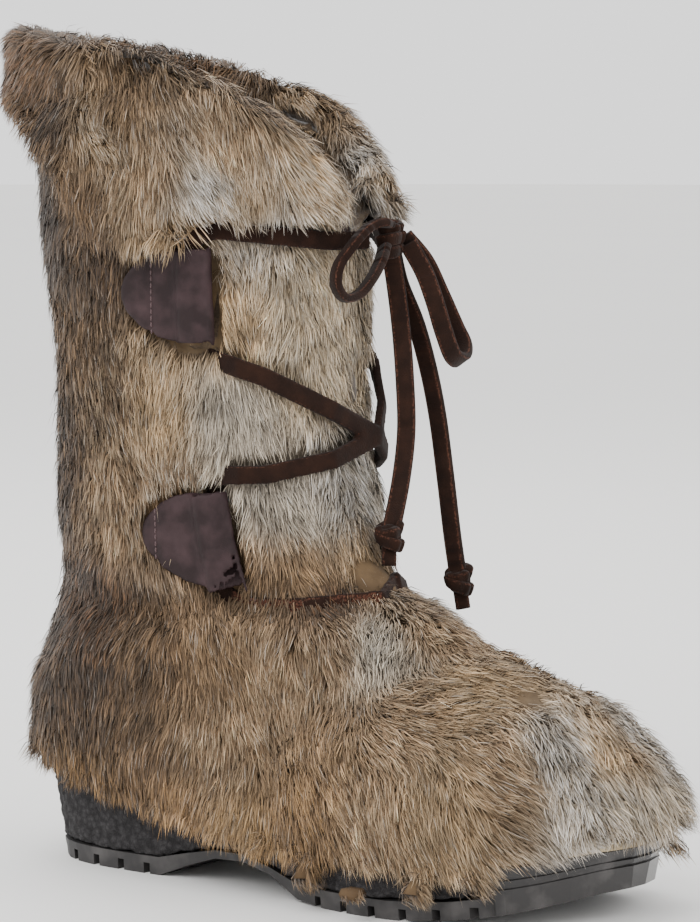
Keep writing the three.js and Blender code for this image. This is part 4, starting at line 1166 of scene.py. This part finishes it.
class MUKLUK_OT_coat(bpy.types.Operator):
    """Shape the hide and its lining, and grow the fur"""

    bl_idname = "mukluk.coat"
    bl_label = "Hide and Fur"

    def execute(self, context):
        settings = context.scene.mukluk_coat
        upper = soft_copy("upper", "hide_upper", settings.hide_voxel, 7)
        cuff = soft_copy("cuff", "hide_cuff", settings.hide_voxel, 6)
        surface = tree_of([upper, cuff])
        for piece in (upper, cuff):
            press_creases(piece.data, surface)
        points, _ = points_and_normals(upper.data)
        points[:, 2] = np.maximum(points[:, 2], settings.hem)
        place_points(upper.data, points)
        nodes = frame["nodes"]
        firm = [nodes[n] for n in ("midsole", "outsole", "tongue", *TABS)]
        outer = {
            upper: open_faces(upper, [upper, cuff], 0.13),
            cuff: open_faces(cuff, [upper, cuff], 0.045),
        }
        outer[upper] |= ankle_front(upper.data)
        furred = {piece: outer[piece] & open_faces(piece, firm, 0.02) for piece in outer}
        for piece, depth in ((upper, settings.sink), (cuff, settings.sink * 1.1)):
            sink_hide(piece, outer[piece], depth)
        guides = CoatGuides(tree_of([upper, cuff]))
        groomer = Groomer(guides, self.covers(context.scene.mukluk_thong), settings)
        self.grow_coat(groomer, Hide(upper, furred[upper]), Hide(cuff, furred[cuff]))
        self.finish_hide(upper, outer[upper], guides, "upper")
        self.finish_hide(cuff, outer[cuff], guides, "cuff")
        return {"FINISHED"}

    def covers(self, thong):
        """The tabs and the bare part of the thong, which hair doesn't lie over."""
        lacing = bmesh.new()
        lacing.from_mesh(frame["nodes"]["lacing"].data)
        middles = np.array([tuple(f.calc_center_median()) for f in lacing.faces])
        hidden = buried(middles, thong) > 0.5
        bmesh.ops.delete(lacing, geom=[f for f, h in zip(lacing.faces[:], hidden) if h], context="FACES")
        for node in TABS:
            lacing.from_mesh(frame["nodes"][node].data)
        tree = BVHTree.FromBMesh(lacing)
        lacing.free()
        return tree

    def grow_coat(self, groomer, upper, cuff):
        """The coat in five pieces, closest on the boot's outer side."""
        ankle, instep, middle = 0.135, 0.09, 0.016
        regions = [
            ("fur_cuff", cuff, 60000, lambda p: p[:, 2] > 0),
            ("fur_shaft_outer", upper, 58000, lambda p: (p[:, 2] >= ankle) & (p[:, 1] < middle)),
            ("fur_shaft_inner", upper, 22000, lambda p: (p[:, 2] >= ankle) & (p[:, 1] >= middle)),
            ("fur_heel_outer", upper, 40000,
             lambda p: (p[:, 2] < ankle) & (p[:, 1] < middle) & (p[:, 0] < instep)),
            ("fur_toe_outer", upper, 57000,
             lambda p: (p[:, 2] < ankle) & (p[:, 1] < middle) & (p[:, 0] >= instep)),
            ("fur_foot_inner", upper, 26000, lambda p: (p[:, 2] < ankle) & (p[:, 1] >= middle)),
        ]
        material = rabbit_fur()
        for seed, (name, hide, count, keep) in enumerate(regions):
            piece = groomer.grow(name, hide, count, keep, seed)
            link(piece, material, "fur")

    def finish_hide(self, piece, open_air, guides, node):
        """Colours the hide under the fur, and gives its inside the felt lining."""
        mesh = piece.data
        points, _ = points_and_normals(mesh)
        _, band, _, _, _, _ = guides.read(points)
        coat = mesh.attributes.new("coat", "FLOAT_COLOR", "POINT")
        shades = np.hstack([band * 0.45, np.ones((len(band), 1))])
        coat.data.foreach_set("color", shades.ravel())
        link(piece, tanned_hide(), "fur", node)
        mesh.materials.append(wool_felt("wool_felt_lining_" + node, "#5f5040", "#3a3027"))
        mesh.polygons.foreach_set("material_index", np.where(open_air, 0, 1).astype(np.int32))


class MUKLUK_OT_stage(bpy.types.Operator):
    """Lay the pale floor and light the boot"""

    bl_idname = "mukluk.stage"
    bl_label = "Stage"

    def execute(self, context):
        stage = context.scene.mukluk_stage
        bm = bmesh.new()
        bmesh.ops.create_circle(bm, cap_ends=True, segments=64, radius=stage.radius)
        floor = object_from(bm, "floor")
        floor.data.materials.append(sheet_vinyl(stage.floor))
        right, up, back = view_axes()
        target = Vector(context.scene.mukluk_view.target)
        lights = [
            ("key", -right * 0.9 + up * 1.1 + back * 1.3, 1.3, stage.key),
            ("fill", right * 1.3 + up * 0.5 + back * 0.9, 1.5, stage.fill),
            ("back", -right * 0.3 + up * 1.3 - back * 1.1, 1.0, stage.fill),
        ]
        for name, offset, size, power in lights:
            data = bpy.data.lights.new(name, "AREA")
            data.size = size
            data.energy = power
            lamp = bpy.data.objects.new(name, data)
            turned = offset.to_track_quat("Z", "Y").to_matrix().to_4x4()
            lamp.matrix_world = Matrix.Translation(target + offset) @ turned
            context.scene.collection.objects.link(lamp)
        world = bpy.data.worlds.new("studio")
        world.use_nodes = True
        sky = world.node_tree.nodes["Background"]
        sky.inputs["Color"].default_value = (1, 1, 1, 1)
        sky.inputs["Strength"].default_value = stage.sky
        context.scene.world = world
        return {"FINISHED"}


class MUKLUK_PT_panel(bpy.types.Panel):
    """The boot's pieces in the sidebar"""

    bl_idname = "MUKLUK_PT_panel"
    bl_label = "Mukluk"
    bl_space_type = "VIEW_3D"
    bl_region_type = "UI"
    bl_category = "Mukluk"

    def draw(self, context):
        for operator in OPERATORS:
            self.layout.operator(operator.bl_idname)
        for name in GROUPS:
            group = getattr(context.scene, name)
            box = self.layout.box()
            for prop in group.__annotations__:
                box.prop(group, prop)


OPERATORS = (
    MUKLUK_OT_camera,
    MUKLUK_OT_bow,
    MUKLUK_OT_lacing,
    MUKLUK_OT_tabs,
    MUKLUK_OT_sole,
    MUKLUK_OT_coat,
    MUKLUK_OT_stage,
)


def register():
    """Registers the settings, the operators and the panel."""
    for name, group in GROUPS.items():
        bpy.utils.register_class(group)
        setattr(bpy.types.Scene, name, bpy.props.PointerProperty(type=group))
    for operator in OPERATORS:
        bpy.utils.register_class(operator)
    bpy.utils.register_class(MUKLUK_PT_panel)


def unregister():
    """Takes them away again."""
    bpy.utils.unregister_class(MUKLUK_PT_panel)
    for operator in reversed(OPERATORS):
        bpy.utils.unregister_class(operator)
    for name, group in reversed(GROUPS.items()):
        delattr(bpy.types.Scene, name)
        bpy.utils.unregister_class(group)


def main():
    """Builds the boot."""
    register()
    bpy.ops.mukluk.camera()
    bpy.ops.mukluk.bow()
    bpy.ops.mukluk.lacing()
    bpy.ops.mukluk.tabs()
    bpy.ops.mukluk.sole()
    bpy.ops.mukluk.coat()
    bpy.ops.mukluk.stage()


if __name__ == "__main__":
    main()
